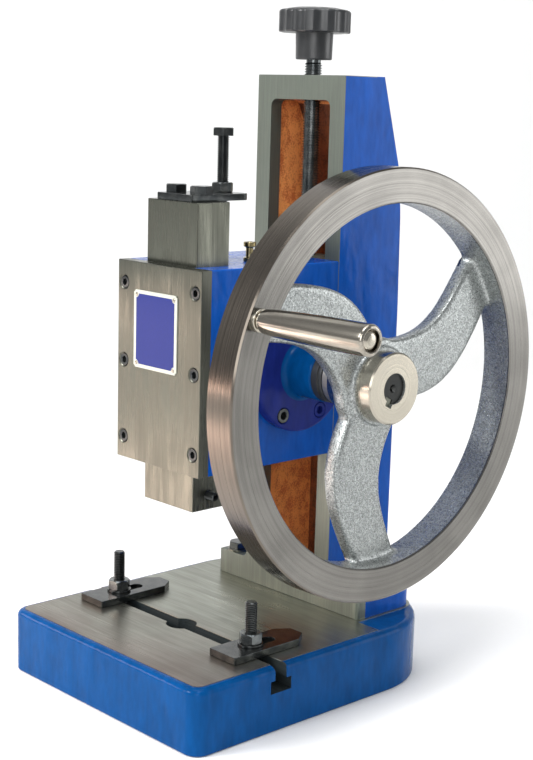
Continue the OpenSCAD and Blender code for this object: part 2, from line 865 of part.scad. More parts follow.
module pinion_profile() {
    base = pitch_r * cos(pressure);
    root = pitch_r - dedendum;
    steps = 6;
    radii = [for (i = [0:steps]) base + (tip_r - base) * i / steps];
    // half a tooth's angle at the pitch circle, less the backlash
    half = 90 / pinion_teeth - backlash / pitch_r * 90 / PI;
    flank = [for (r = radii) half + involute(pitch_r, base) - involute(r, base)];
    polygon([for (i = [0:pinion_teeth - 1])
        let (a = 180 + i * 360 / pinion_teeth)
        each concat([polar(root, a - flank[0])],
                    [for (j = [0:steps]) polar(radii[j], a - flank[j])],
                    [for (j = [steps:-1:0]) polar(radii[j], a + flank[j])],
                    [polar(root, a + flank[0])])]);
}

shaft_end = wheel_x - 1.6;
keyway_x = shaft_end - key_l - 0.6;

module pinion_shaft() {
    color(bright_steel)
    on_shaft() difference() {
        union() {
            bar(shaft_d, free_gap - chamber_left - inner_bush_l, shaft_end);
            translate([0, 0, -pinion_w / 2]) linear_extrude(pinion_w) pinion_profile();
        }
        rotate(key_angle) translate([shaft_d / 2 - key_depth, -key_w / 2 - turn_gap, keyway_x])
            cube([key_w, key_w + 2 * turn_gap, key_l + cut]);
        // turning centre in the end
        translate([0, 0, shaft_end - 3.5]) cylinder(d1 = 0.5, d2 = 5.5, h = 3.6);
    }
}

module wheel_key() {
    color(bright_steel)
    on_shaft() rotate(key_angle)
        translate([shaft_d / 2 - key_depth + screw_gap, -key_w / 2, keyway_x + screw_gap])
            cube([key_depth + key_rise - screw_gap, key_w, key_l]);
}

module shaft_collar() {
    color(bright_steel)
    on_shaft() ring(hub_d - 12, shaft_d + 2 * turn_gap, collar_x, hub_x);
}

// Children point outwards through the back of the hub, opposite the key
module set_screw_place() { rotate(key_angle + 180) translate([0, 0, hub_x + 6]) rotate([0, 90, 0]) children(); }

// A grub screw from z0 to z1 with a socket in its outer end
module grub_screw(d, z0, z1) {
    socket_depth = 3;
    difference() {
        bar(d, z0, z1);
        translate([0, 0, z1 - socket_depth]) hexagon(d / 2, socket_depth + cut);
    }
}

module hub_set_screw() {
    color(black_oxide)
    on_shaft() set_screw_place() grub_screw(m6_cap[0], shaft_d / 2 + screw_gap, shaft_d / 2 + 8);
}

// Children stand on the rim's face at the handle's place
module at_handle() { on_shaft() translate(concat(polar(handle_r, handle_angle), wheel_x)) children(); }

grip_end = grip_x + grip_l;
grip_recess = [6.3, 3.9]; // radius, depth

module handle_spindle() {
    shoulder_d = grip_root_d - 1;
    head_r = grip_recess[0] - seat_gap;
    head_z0 = grip_end - grip_recess[1] + seat_gap;
    color(bright_steel)
    at_handle() {
        bar(spindle_d, -spindle_seat, head_z0 + cut);
        // shoulder against the rim, and the head in the grip's end
        bar(shoulder_d, 0, grip_x / 2);
        bar(spindle_d + 2.4, 0, grip_x - seat_gap);
        rotate_extrude()
            polygon([[0, head_z0], [head_r, head_z0], [head_r, head_z0 + 2],
                     [head_r - 1.5, head_z0 + 3], [0, head_z0 + 3.4]]);
    }
}

module handle_grip() {
    bore_r = spindle_d / 2 + turn_gap;
    root_r = grip_root_d / 2;
    end_r = grip_end_d / 2;
    side = curve([[root_r - 0.4, 0.6], [root_r + 0.8, 8], [end_r, grip_l / 2], [end_r, grip_l - 4]], 10);
    color(bright_steel)
    at_handle() translate([0, 0, grip_x]) rotate_extrude()
        polygon(concat([[bore_r, 0], [root_r - 1.2, 0]], side,
                       [[end_r - 0.3, grip_l - 1.6], [end_r - 1.4, grip_l - 0.4], [end_r - 2.2, grip_l],
                        [grip_recess[0], grip_l], [grip_recess[0], grip_l - grip_recess[1]],
                        [bore_r, grip_l - grip_recess[1]]]));
}

// -------------------------------------------------------------------- ram

module ram() {
    color(bright_steel)
    difference() {
        translate([-ram_w / 2, -ram_d / 2, ram_z]) cube([ram_w, ram_d, ram_l]);
        bar(tool_bore_d, ram_z - cut, ram_z + tool_bore_l);
        translate([0, 0, tool_screw_z]) along_x() bar(m6_cap[0] + 2 * turn_gap, 0, ram_w);
        for (z = rack_screw_z)
            into_y([0, z], ram_d / 2) screw_hole(m5_cap, -m5_grip - hole_end, cut);
        for (s = [-1, 1])
            translate([s * top_bolt_x, 0, ram_top]) screw_hole(m8_hex, -m8_grip - hole_end, cut);
    }
}

// Rack with straight flanks that lean by the pressure angle
module rack() {
    half = pitch / 4 - backlash / 2;
    tip_w = half - gear_m * tan(pressure);
    root_w = half + dedendum * tan(pressure);
    color(bright_steel)
    difference() {
        along_x() translate([0, 0, -rack_w / 2]) linear_extrude(rack_w)
            polygon(concat([[ram_d / 2, rack_z], [rack_root, rack_z]],
                           [for (i = [1:rack_teeth_up + rack_teeth_down])
                               let (z = rack_z + (i - 0.5) * pitch)
                               each [[rack_root, z - root_w], [rack_tip, z - tip_w],
                                     [rack_tip, z + tip_w], [rack_root, z + root_w]]],
                           [[rack_root, rack_z + rack_l], [ram_d / 2, rack_z + rack_l]]));
        for (z = rack_screw_z) into_y([0, z], ram_d / 2) {
            screw_hole(m5_cap, -cut, rack_tip);
            bar(m5_cap[1] + 2 * seat_gap, rack_screw_seat, rack_tip);
        }
    }
}

module rack_screws() {
    color(black_oxide)
    for (z = rack_screw_z)
        into_y([0, z], ram_d / 2 + rack_screw_seat) cap_screw(m5_cap, rack_screw_seat + m5_grip);
}

module ram_top_plate() {
    front_gap = 1;
    back = stop_y + m8_stop_nut[1] / 2 + 2.5;
    color(black_oxide)
    difference() {
        translate([0, 0, ram_top]) linear_extrude(top_plate_t)
            plan(top_plate_w, -ram_d / 2 + front_gap, back, 1.5, 5);
        for (s = [-1, 1]) translate([s * top_bolt_x, 0, ram_top])
            bar(m8_hex[0] + 2 * free_gap, -cut, top_plate_t + cut);
        translate([0, stop_y, ram_top]) bar(m8_hex[0] + 2 * turn_gap, -cut, top_plate_t + cut);
    }
}

module top_plate_bolts() {
    color(black_oxide)
    for (s = [-1, 1])
        translate([s * top_bolt_x, 0, ram_top + top_plate_t]) hex_bolt(m8_hex, top_plate_t + m8_grip);
}

module stop_nut() {
    color(black_oxide)
    translate([0, stop_y, ram_top + top_plate_t]) hex_nut(m8_stop_nut);
}

// The bolt's end stands off the head by the ram's travel down
module stop_bolt() {
    end_z = head_top + stroke_down + seat_gap;
    color(black_oxide) translate([0, stop_y, end_z + stop_l]) hex_bolt(m8_hex, stop_l);
}

module tool_screw() {
    color(bright_steel)
    translate([0, 0, tool_screw_z]) along_x()
        grub_screw(m6_cap[0], tool_bore_d / 2 + free_gap + seat_gap, ram_w / 2 + 7.5);
}

// ----------------------------------------------------------------- clamps

module t_bolt(x) {
    w = slot_head_w - 2 * free_gap;
    z = slot_head_z + free_gap;
    color(black_oxide)
    translate([x, 0, 0]) {
        bar(m8_nut[0], z, strap_top + stud_rise);
        translate([-w / 2, -w / 2, z]) cube([w, w, slot_head_h - 2 * free_gap]);
    }
}

module clamp_washer(x) {
    color(black_oxide) translate([x, 0, 0]) ring(m8_washer[1], m8_washer[0], washer_z, washer_top);
}

module clamp_nut(x) {
    color(black_oxide) translate([x, 0, washer_top]) hex_nut(m8_nut);
}

// Flat strap with a tapered nose and a slot for the stud
module strap(x) {
    rear = strap_l - strap_front;
    half = strap_w / 2;
    nose = [7, 10]; // how far the nose is taken off across and along
    color(black_oxide)
    translate([x, 0, strap_z]) linear_extrude(strap_t)
    difference() {
        polygon([[-half, -strap_front], [half, -strap_front], [half, rear - nose.y],
                 [half - nose.x, rear], [nose.x - half, rear], [-half, rear - nose.y]]);
        circle(d = m8_washer[0]);
        translate([-m8_washer[0] / 2, 0]) square([m8_washer[0], strap_slot_l]);
        translate([0, strap_slot_l]) circle(d = m8_washer[0]);
    }
}

module left_t_bolt() { t_bolt(left_clamp_x); }
module left_clamp_washer() { clamp_washer(left_clamp_x); }
module left_clamp_nut() { clamp_nut(left_clamp_x); }
module left_strap() { strap(left_clamp_x); }
module right_t_bolt() { t_bolt(right_clamp_x); }
module right_clamp_washer() { clamp_washer(right_clamp_x); }
module right_clamp_nut() { clamp_nut(right_clamp_x); }
module right_strap() { strap(right_clamp_x); }

base();
column();
column_bolts();
column_washers();
head();
left_keeper();
right_keeper();
keeper_bolts();
cover_plate();
cover_screws();
nameplate();
nameplate_rivets();
bearing_housing();
housing_screws();
outer_bush();
inner_bush();
seal_ring();
oil_cup();
elevating_screw();
height_knob();
screw_collar();
collar_pin();
handwheel();
pinion_shaft();
wheel_key();
shaft_collar();
hub_set_screw();
handle_spindle();
handle_grip();
ram();
rack();
rack_screws();
ram_top_plate();
top_plate_bolts();
stop_nut();
stop_bolt();
tool_screw();
left_t_bolt();
left_clamp_washer();
left_clamp_nut();
left_strap();
right_t_bolt();
right_clamp_washer();
right_clamp_nut();
right_strap();
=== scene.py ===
import contextlib
import json
import math

import bmesh
import bpy
from mathutils import Matrix, Vector


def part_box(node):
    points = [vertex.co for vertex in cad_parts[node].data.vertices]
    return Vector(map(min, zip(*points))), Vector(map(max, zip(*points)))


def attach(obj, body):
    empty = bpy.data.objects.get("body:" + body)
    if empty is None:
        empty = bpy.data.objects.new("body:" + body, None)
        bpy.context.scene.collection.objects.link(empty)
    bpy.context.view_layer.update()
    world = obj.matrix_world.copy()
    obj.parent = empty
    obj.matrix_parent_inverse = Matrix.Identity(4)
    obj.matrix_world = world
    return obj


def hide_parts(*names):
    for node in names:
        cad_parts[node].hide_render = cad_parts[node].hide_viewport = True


bl_info = {
    "name": "Hand-wheel Punch Press",
    "version": (1, 0, 0),
    "blender": (4, 5, 0),
    "location": "3D View > Sidebar > Press",
    "description": "Castings, ground faces, turned steel and fasteners for a bench punch press",
    "category": "Object",
}

MM = 0.001  # millimetres to Blender's metres

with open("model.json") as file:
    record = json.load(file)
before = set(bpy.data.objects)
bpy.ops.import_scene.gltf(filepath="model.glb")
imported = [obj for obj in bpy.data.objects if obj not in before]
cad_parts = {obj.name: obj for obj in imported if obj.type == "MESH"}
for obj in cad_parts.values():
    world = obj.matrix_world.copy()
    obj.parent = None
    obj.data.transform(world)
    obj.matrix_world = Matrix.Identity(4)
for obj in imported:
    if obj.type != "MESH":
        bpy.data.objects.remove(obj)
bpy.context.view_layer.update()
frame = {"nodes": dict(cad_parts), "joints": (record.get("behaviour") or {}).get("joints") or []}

# ---------------------------------------------------------------- colours and sizes


def linear(hex_colour):
    """An sRGB hex colour as the linear values that Blender works in."""
    shares = [int(hex_colour[i:i + 2], 16) / 255 for i in (1, 3, 5)]
    return tuple(c / 12.92 if c <= 0.04045 else ((c + 0.055) / 1.055) ** 2.4 for c in shares)


def colour(name, description, hex_colour):
    """A colour that the user can change."""
    return bpy.props.FloatVectorProperty(
        name=name, description=description, subtype="COLOR", size=3, min=0, max=1,
        default=linear(hex_colour))


def length(name, description, millimetres):
    """A length that the user can change."""
    return bpy.props.FloatProperty(
        name=name, description=description, default=millimetres * MM, min=0,
        unit="LENGTH", precision=5)


class PressColours(bpy.types.PropertyGroup):
    """Paints, metals and plastics of the press."""

    base_paint: colour("Base paint", "Bright enamel on the base", "#03437C")
    machine_paint: colour("Machine paint", "Royal blue enamel on the column and the head", "#114CA0")
    # Darker blue for the housing's flange, as painted shade; the boss takes the base's brighter blue, as
    # painted light.
    housing_paint: colour("Housing paint", "Enamel on the bearing housing's flange", "#1D2A74")
    primer: colour("Primer", "Red lead primer inside the column", "#F58D50")
    ground_iron: colour("Ground iron", "Bare ground faces of the castings", "#6A7067")
    # Dark iron for the slot and hole walls: painted shade of the recesses.
    oiled_iron: colour("Oiled iron", "Walls of the T-slot and the slug hole", "#30383A")
    table_iron: colour("Table iron", "Ground table with a trace of oil", "#96988E")
    # Brown drawn over the table in clouds, stronger towards the front.
    oil_film: colour("Oil film", "Old oil on the front of the table", "#75665F")
    ground_steel: colour("Ground steel", "Ram and cover plate", "#686960")
    turned_steel: colour("Turned steel", "Rim's faces and shaft parts", "#777571")
    # Darker, browner steel on the rim's outside: a painted reflection of a dark, warm room.
    rim_steel: colour("Rim steel", "Rim's outside, browned by handling", "#6E675F")
    hub_steel: colour("Hub steel", "Freshly turned hub", "#B2AC9F")
    wheel_paint: colour("Wheel paint", "Aluminium paint on the wheel's casting", "#9EA2A1")
    black_oxide: colour("Black oxide", "Blackened bolts, nuts and clamps", "#353839")
    plastic: colour("Plastic", "Knob of moulded phenolic", "#191B1D")
    bronze: colour("Bronze", "Bearing bushes", "#A5803C")
    brass: colour("Brass", "Oil cup and rivets", "#A89A72")
    plate_field: colour("Plate field", "Blue enamel on the nameplate", "#0C2273")
    plate_border: colour("Plate border", "Border of the nameplate", "#C6C8BC")
    chrome: colour("Chrome", "Plating on the handle's grip", "#A8A297")
    floor: colour("Floor", "Floor and backdrop of the studio", "#F6F6F5")


class PressSizes(bpy.types.PropertyGroup):
    """Sizes of what the frame leaves to the finish of the pieces."""

    base_front_radius: length("Base front radius", "Plan radius of the base's front corners", 11)
    base_rear_radius: length("Base rear radius", "Plan radius of the base's rear corners", 66)
    base_edge: length("Base edge", "Rounding of the base's top edge", 4.5)
    table_step: length("Table step", "Height of the ground table over the painted edge", 0.35)
    slot_neck: length("Slot neck", "Width of the T-slot's neck", 10)
    slot_head: length("Slot head", "Width of the T-slot's wide part", 18)
    slot_lip: length("Slot lip", "Depth of the T-slot's neck", 9.5)
    cast_edge: length("Cast edge", "Rounding of a casting's painted edges", 1.4)
    ground_edge: length("Ground edge", "Broken edge of a ground face", 0.5)
    spoke_thickness: length("Spoke thickness", "Thickness of the handwheel's spokes", 12)
    cast_voxel: length("Casting voxel", "Mesh size of the handwheel's casting", 1.15)
    fine_pitch: length("M8 pitch", "Pitch of the M8 threads", 1.25)
    lead: length("Elevating pitch", "Pitch of the elevating screw", 1.75)


# ---------------------------------------------------------------- solids in millimetres

ALONG_X = Matrix(((0, 0, 1), (1, 0, 0), (0, 1, 0))).to_4x4()  # x, y, z point along Y, Z, X
ALONG_Y = Matrix(((1, 0, 0), (0, 0, 1), (0, -1, 0))).to_4x4()  # z points into the machine
PAST = 1  # how far a cutter runs past a face
FIT = 0.05  # play of a pin, a screw or a key in its hole
SLIVER = 0.005  # shortest edge that is kept
THREAD_DEPTH = 0.55  # as a share of the pitch


def span(*names):
    """Lowest and highest corner of CAD nodes, in millimetres."""
    boxes = [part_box(name) for name in names]
    low = Vector(min(box[0][i] for box in boxes) for i in range(3))
    high = Vector(max(box[1][i] for box in boxes) for i in range(3))
    return low / MM, high / MM


def sizes():
    """The user's lengths, in millimetres."""
    kept = bpy.context.scene.press_sizes
    return {name: getattr(kept, name) / MM for name in PressSizes.__annotations__}


def scratch(bm):
    """An object from a mesh that has been built, with its faces turned one way."""
    bmesh.ops.recalc_face_normals(bm, faces=bm.faces)
    mesh = bpy.data.meshes.new("scratch")
    bm.to_mesh(mesh)
    bm.free()
    made = bpy.data.objects.new("scratch", mesh)
    bpy.context.scene.collection.objects.link(made)
    return made


@contextlib.contextmanager
def opened(made):
    """A solid's mesh, opened for change and written back."""
    bm = bmesh.new()
    bm.from_mesh(made.data)
    yield bm
    bm.to_mesh(made.data)
    bm.free()


def change(made, kind, **settings):
    """Adds a modifier with its settings and applies it."""
    modifier = made.modifiers.new(kind, kind)
    for option, value in settings.items():
        setattr(modifier, option, value)
    graph = bpy.context.evaluated_depsgraph_get()
    shaped = bpy.data.meshes.new_from_object(
        made.evaluated_get(graph), preserve_all_data_layers=True, depsgraph=graph)
    made.modifiers.clear()
    made.data = shaped


def combine(made, operation, others):
    """Cuts, joins or clips a solid with others, which are used up."""
    for other in others:
        change(made, "BOOLEAN", operation=operation, object=other, solver="MANIFOLD")
        bpy.data.objects.remove(other)
    return made


def cut(made, *tools):
    return combine(made, "DIFFERENCE", tools)


def weld(made, *others):
    return combine(made, "UNION", others)


def clip(made, *others):
    return combine(made, "INTERSECT", others)


def gather(*solids):
    """Several separate solids as one object."""
    bm = bmesh.new()
    for one in solids:
        bm.from_mesh(one.data)
        bpy.data.objects.remove(one)
    return scratch(bm)


def soften(made, width, steps=2, angle=32, where=None):
    """Rounds each edge that is sharper than the angle, in degrees, and whose middle passes the
    test."""
    with opened(made) as bm:
        sharp = [edge for edge in bm.edges
                 if edge.is_manifold and edge.calc_face_angle() > math.radians(angle)]
        picked = [edge for edge in sharp
                  if where is None or where((edge.verts[0].co + edge.verts[1].co) / 2)]
        bmesh.ops.bevel(bm, geom=picked, offset=width, offset_type="OFFSET", segments=steps,
                        profile=0.5, affect="EDGES", clamp_overlap=False)
    return made


def score(made, point, normal):
    """Splits the faces along a plane, so that a finish can end there."""
    with opened(made) as bm:
        bmesh.ops.bisect_plane(bm, geom=[*bm.verts, *bm.edges, *bm.faces], dist=1e-4,
                               plane_co=point, plane_no=normal)


def moved(made, x=0, y=0, z=0, turn=None):
    """Turns a solid by a matrix, then shifts it."""
    made.data.transform(Matrix.Translation((x, y, z)) @ (turn or Matrix.Identity(4)))
    return made


def about_z(angle):
    """A turn about z, in radians."""
    return Matrix.Rotation(angle, 4, "Z")


def block(low, high):
    """A box between two corners."""
    low, high = Vector(low), Vector(high)
    bm = bmesh.new()
    bmesh.ops.create_cube(bm, size=1)
    grow = Matrix.Diagonal((*(high - low), 1))
    bm.transform(Matrix.Translation((low + high) / 2) @ grow)
    return scratch(bm)


def prism(outline, z0, z1):
    """An outline in x and y, raised from z0 to z1."""
    bm = bmesh.new()
    floor = [bm.verts.new((x, y, z0)) for x, y in outline]
    roof = [bm.verts.new((x, y, z1)) for x, y in outline]
    bm.faces.new(floor)
    bm.faces.new(roof)
    for i in range(len(outline)):
        j = (i + 1) % len(outline)
        bm.faces.new((floor[i], floor[j], roof[j], roof[i]))
    return scratch(bm)


def skin(rings):
    """A closed skin through rings of points, with a face at each end."""
    bm = bmesh.new()
    rows = [[bm.verts.new(point) for point in ring] for ring in rings]
    bm.faces.new(rows[0])
    bm.faces.new(rows[-1])
    count = len(rows[0])
    for lower, upper in zip(rows, rows[1:]):
        for i in range(count):
            j = (i + 1) % count
            bm.faces.new((lower[i], lower[j], upper[j], upper[i]))
    return scratch(bm)


def lathe(profile, segments=64, ring=False, swell=None):
    """Turns (radius, height) points about z. A ring's profile closes on itself, and swell
    gives a factor on the radius at each angle."""
    bm = bmesh.new()
    rows = []
    for radius, height in profile:
        row = []
        for i in range(segments if radius > 0 else 1):
            angle = math.tau * i / segments
            reach = radius * (swell(angle) if swell else 1)
            row.append(bm.verts.new((reach * math.cos(angle), reach * math.sin(angle), height)))
        rows.append(row)
    pairs = list(zip(rows, rows[1:]))
    if ring:
        pairs.append((rows[-1], rows[0]))
    for lower, upper in pairs:
        for i in range(segments):
            j = (i + 1) % segments
            corners = (lower[i % len(lower)], lower[j % len(lower)],
                       upper[j % len(upper)], upper[i % len(upper)])
            bm.faces.new(dict.fromkeys(corners))  # at the axis two corners are one
    return scratch(bm)


def rod(radius, z0, z1, segments=48):
    """A plain round bar, for cutting with."""
    return lathe([(0, z0), (radius, z0), (radius, z1), (0, z1)], segments)


def arc(centre, radius, start, end, steps=8):
    """Points of an arc, with its angles in degrees."""
    angles = [math.radians(start + (end - start) * i / steps) for i in range(steps + 1)]
    return [(centre[0] + radius * math.cos(a), centre[1] + radius * math.sin(a)) for a in angles]


def quarter_round(radius, start, step):
    """A quarter round's distances from its two faces, at angles from a start to 90 degrees."""
    angles = [math.radians(a) for a in range(start, 91, step)]
    return [(radius * (1 - math.cos(a)), radius * (1 - math.sin(a))) for a in angles]


def eased(points, radius, closed=False, steps=4):
    """The same outline with its corners rounded, by one radius or one for each point."""
    points = [Vector(p) for p in points]
    radii = radius if isinstance(radius, (list, tuple)) else [radius] * len(points)
    shaped = []
    for i, (here, wanted) in enumerate(zip(points, radii)):
        if wanted == 0 or (not closed and i in (0, len(points) - 1)):
            shaped.append(tuple(here))
            continue
        before = points[i - 1] - here
        after = points[(i + 1) % len(points)] - here
        half = before.angle(after) / 2
        reach = min(wanted / math.tan(half), 0.48 * before.length, 0.48 * after.length)
        bisector = (before.normalized() + after.normalized()).normalized()
        centre = here + bisector * (reach / math.cos(half))
        first = here + before.normalized() * reach - centre
        last = here + after.normalized() * reach - centre
        start = math.atan2(first.y, first.x)
        turn = (math.atan2(last.y, last.x) - start + math.pi) % math.tau - math.pi
        shaped += arc(centre, first.length, math.degrees(start), math.degrees(start + turn), steps)
    return shaped


def rectangle(x0, y0, x1, y1, radius=0, steps=6):
    """A rectangle with rounded corners."""
    return eased([(x0, y0), (x1, y0), (x1, y1), (x0, y1)], radius, closed=True, steps=steps)


def bezier(points, steps):
    """Points along a cubic curve with four control points."""
    a, b, c, d = (Vector(p) for p in points)
    shares = [i / steps for i in range(steps + 1)]
    return [(a * (1 - t) ** 3 + b * 3 * t * (1 - t) ** 2 + c * 3 * t * t * (1 - t) + d * t ** 3)
            for t in shares]


def thread(diameter, pitch, z0, z1, segments=28, lead_in=0.7):
    """A right-hand thread from z0 to z1 with chamfered ends."""
    crest = diameter / 2
    root = crest - THREAD_DEPTH * pitch
    strands = ((0, root), (0.2, root), (0.47, crest), (0.68, crest))  # share of a pitch, radius
    start = z0 - 1.5 * pitch
    steps = math.ceil((z1 - z0) / pitch + 3) * segments
    bm = bmesh.new()
    rows = []
    for share, radius in strands:
        row = []
        for t in range(steps + 1):
            angle = math.tau * t / segments
            height = start + pitch * (share + t / segments)
            row.append(bm.verts.new((radius * math.cos(angle), radius * math.sin(angle), height)))
        rows.append(row)
    for t in range(steps):
        for lower, upper in zip(rows, rows[1:]):
            bm.faces.new((lower[t], lower[t + 1], upper[t + 1], upper[t]))
        if t + 1 + segments <= steps:
            bm.faces.new((rows[3][t], rows[3][t + 1],
                          rows[0][t + 1 + segments], rows[0][t + segments]))
    first = rows[0][:segments + 1] + [rows[3][0], rows[2][0], rows[1][0]]
    last = rows[3][steps - segments:] + [rows[2][steps], rows[1][steps], rows[0][steps]]
    for edge, height in ((first, start), (last, start + pitch * steps / segments)):
        centre = bm.verts.new((0, 0, height))
        for i in range(len(edge)):
            bm.faces.new((centre, edge[i], edge[(i + 1) % len(edge)]))
    ends = [(0, z0), (crest - lead_in, z0), (crest + 0.1, z0 + lead_in + 0.1),
            (crest + 0.1, z1 - lead_in - 0.1), (crest - lead_in, z1), (0, z1)]
    return clip(scratch(bm), lathe(ends, segments))


def hexagon(flats):
    """Corners of a hexagon by its width across flats."""
    return arc((0, 0), flats / math.sqrt(3), 0, 300, 5)


def hex_head(flats, height, both=False):
    """A hexagon with its corners turned off at the top, and at the bottom too for a nut."""
    corner = flats * 0.6
    drop = height * 0.2
    foot = [(0, 0), (flats * 0.49, 0), (corner, drop)] if both else [(0, 0), (corner, 0)]
    cone = foot + [(corner, height - drop), (flats * 0.48, height), (0, height)]
    bar = soften(prism(hexagon(flats), 0, height), 0.35, where=lambda p: 0.1 < p.z < height - 0.1)
    return clip(bar, lathe(cone, 60))


def hex_bolt(diameter, flats, head, length, pitch=None):
    """A hexagon bolt hanging from its head's seat, threaded where a pitch is given."""
    shank = (thread(diameter, pitch, -length, 0.5) if pitch
             else lathe([(0, -length), (diameter / 2, -length), (diameter / 2, 0.5), (0, 0.5)], 32))
    return weld(hex_head(flats, head), shank)


def hex_nut(diameter, flats, height):
    """A plain nut standing on z = 0."""
    return cut(hex_head(flats, height, both=True), rod(diameter / 2 + FIT, -PAST, height + PAST))


def cap_screw(diameter, head, height, length, socket):
    """A socket-head screw hanging from its head's seat."""
    body = eased([(0, -length), (diameter / 2, -length), (diameter / 2, 0), (head / 2, 0),
                  (head / 2, height), (0, height)], [0, 0.3, 0, 0, 0.5, 0], steps=3)
    key = prism(hexagon(socket), height / 2, height + PAST)
    mouth = lathe([(0, height - 0.5), (socket / 2, height - 0.35), (socket / 2 + 0.5, height + 0.1),
                   (0, height + 0.1)], 32)
    return cut(lathe(body, 40), key, mouth)


def washer(outer, bore, z0, z1):
    """A flat ring with rounded edges."""
    section = [(bore / 2, z0), (outer / 2, z0), (outer / 2, z1), (bore / 2, z1)]
    return lathe(eased(section, 0.25, closed=True, steps=2), 48, ring=True)


def clean(made):
    """Merges the slivers that cutting leaves, and turns the skin outward."""
    with opened(made) as bm:
        bmesh.ops.remove_doubles(bm, verts=bm.verts, dist=SLIVER)
        bmesh.ops.dissolve_degenerate(bm, dist=SLIVER, edges=bm.edges)
        bmesh.ops.connect_verts_concave(bm, faces=[face for face in bm.faces if len(face.verts) > 4])
        if bm.calc_volume(signed=True) < 0:
            bmesh.ops.reverse_faces(bm, faces=bm.faces)


def piece(name, made, body, stands_for, finishes, rule=None, crease=30):
    """Names a solid, brings it to size, gives it its finishes and sets it on its body. The
    rule picks a finish by a face's middle, in millimetres, and its normal."""
    clean(made)
    made.name = made.data.name = name + "_piece"
    made.data.materials.clear()
    for finish in finishes:
        made.data.materials.append(finish)
    for face in made.data.polygons:
        face.material_index = rule(face.center, face.normal) if rule else 0
    made.data.shade_smooth()
    made.data.set_sharp_from_angle(angle=math.radians(crease))
    change(made, "WEIGHTED_NORMAL", keep_sharp=True)
    made.data.transform(Matrix.Scale(MM, 4))
    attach(made, body)
    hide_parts(*stands_for)
    return made


def dress(finish, *names):
    """Gives CAD nodes, whose shape stays, a finish."""
    for name in names:
        kept = frame["nodes"][name].data
        kept.materials.clear()
        kept.materials.append(finish)
        kept.polygons.foreach_set("material_index", [0] * len(kept.polygons))


# ---------------------------------------------------------------- finishes

MIX_A, MIX_B, MIX_COLOUR = 6, 7, 2  # a colour Mix node's own sockets, which share their names
FINISHES = {}  # the materials made so far, by name


def node(tree, kind, inputs=(), **settings):
    """Adds a shader node of a kind with its settings. Its inputs come in order or by name, and
    each is a value, a socket to link, or a node whose first output is linked."""
    made = tree.nodes.new("ShaderNode" + kind)
    for option, value in settings.items():
        setattr(made, option, value)
    for key, value in inputs.items() if isinstance(inputs, dict) else enumerate(inputs):
        if isinstance(value, bpy.types.Node):
            value = value.outputs[0]
        if isinstance(value, bpy.types.NodeSocket):
            tree.links.new(value, made.inputs[key])
        else:
            made.inputs[key].default_value = value
    return made


def grain(millimetres):
    """A texture's scale for features of that size."""
    return 1 / (millimetres * MM)


def tint(name, share=1):
    """A user's colour, made lighter or darker by a share."""
    return (*(min(c * share, 1) for c in getattr(bpy.context.scene.press_colours, name)), 1)


def finish(make, name=None, **options):
    """The material that a function makes, made once for each name."""
    name = name or make.__name__
    made = FINISHES.get(name)
    if made is None:
        made = FINISHES[name] = bpy.data.materials.new(name)
        made.use_nodes = True
        made.node_tree.nodes.clear()
        shader = node(made.node_tree, "BsdfPrincipled")
        node(made.node_tree, "OutputMaterial", {"Surface": shader})
        place = node(made.node_tree, "TexCoord").outputs["Object"]
        make(made.node_tree, shader, place, **options)
    return made


def surface(tree, shader, share, dark, light, layers=(), gloss=None):
    """Colours a shader between two shades by a share, or by a (value, low, high) range, embosses
    it with (height, depth in millimetres) layers, the broadest first, and draws its roughness
    from a (value, low, high, roughness at low, roughness at high) range."""
    if isinstance(share, tuple):
        share = node(tree, "MapRange", share)
    mix = node(tree, "Mix", {"Factor": share, MIX_A: dark, MIX_B: light}, data_type="RGBA")
    tree.links.new(mix.outputs[MIX_COLOUR], shader.inputs["Base Color"])
    normal = None
    for height, depth in layers:
        inputs = {"Height": height, "Distance": depth * MM, "Strength": 1}
        if normal:
            inputs["Normal"] = normal
        normal = node(tree, "Bump", inputs)
    if normal:
        tree.links.new(normal.outputs[0], shader.inputs["Normal"])
    if gloss:
        tree.links.new(node(tree, "MapRange", gloss).outputs[0], shader.inputs["Roughness"])


def enamel_on_cast_iron(tree, shader, place, paint):
    """Gloss enamel brushed on a sand casting: a wet gloss that breaks up over the sand's lumps."""
    upright = node(tree, "Mapping", {"Vector": place, "Scale": (1, 1, 0.3)})
    strokes = node(tree, "TexNoise", {"Vector": upright, "Scale": grain(4), "Detail": 4})
    sand = node(tree, "TexNoise", {"Vector": place, "Scale": grain(2.6), "Detail": 2})
    sagging = node(tree, "Mapping", {"Vector": place, "Scale": (1, 1, 0.5)})
    lumps = node(tree, "TexNoise", {"Vector": sagging, "Scale": grain(17), "Detail": 2})
    both = node(tree, "Math", (strokes, lumps), operation="ADD")
    surface(tree, shader, (both, 0.7, 1.3), tint(paint, 0.84), tint(paint, 1.2),
            ((lumps, 1.1), (strokes, 0.05), (sand, 0.06)), (sand, 0.3, 0.7, 0.12, 0.24))
    shader.inputs["Specular IOR Level"].default_value = 0.08


def red_lead_primer(tree, shader, place, share=1):
    """Red lead primer thick on a rough cavity wall: matt orange with dark pits and runs. A share below 1
    darkens it all over, as painted shade.
    """
    sagging = node(tree, "Mapping", {"Vector": place, "Scale": (1, 1, 0.6)})
    runs = node(tree, "TexNoise", {"Vector": sagging, "Scale": grain(7), "Detail": 4})
    pits = node(tree, "TexNoise", {"Vector": place, "Scale": grain(1.2), "Detail": 3})
    both = node(tree, "Math", (runs, pits), operation="ADD")
    surface(tree, shader, (both, 0.82, 1.1), tint("primer", 0.7 * share), tint("primer", 1.6 * share),
            ((runs, 0.6), (pits, 0.5)))
    shader.inputs["Roughness"].default_value = 0.55


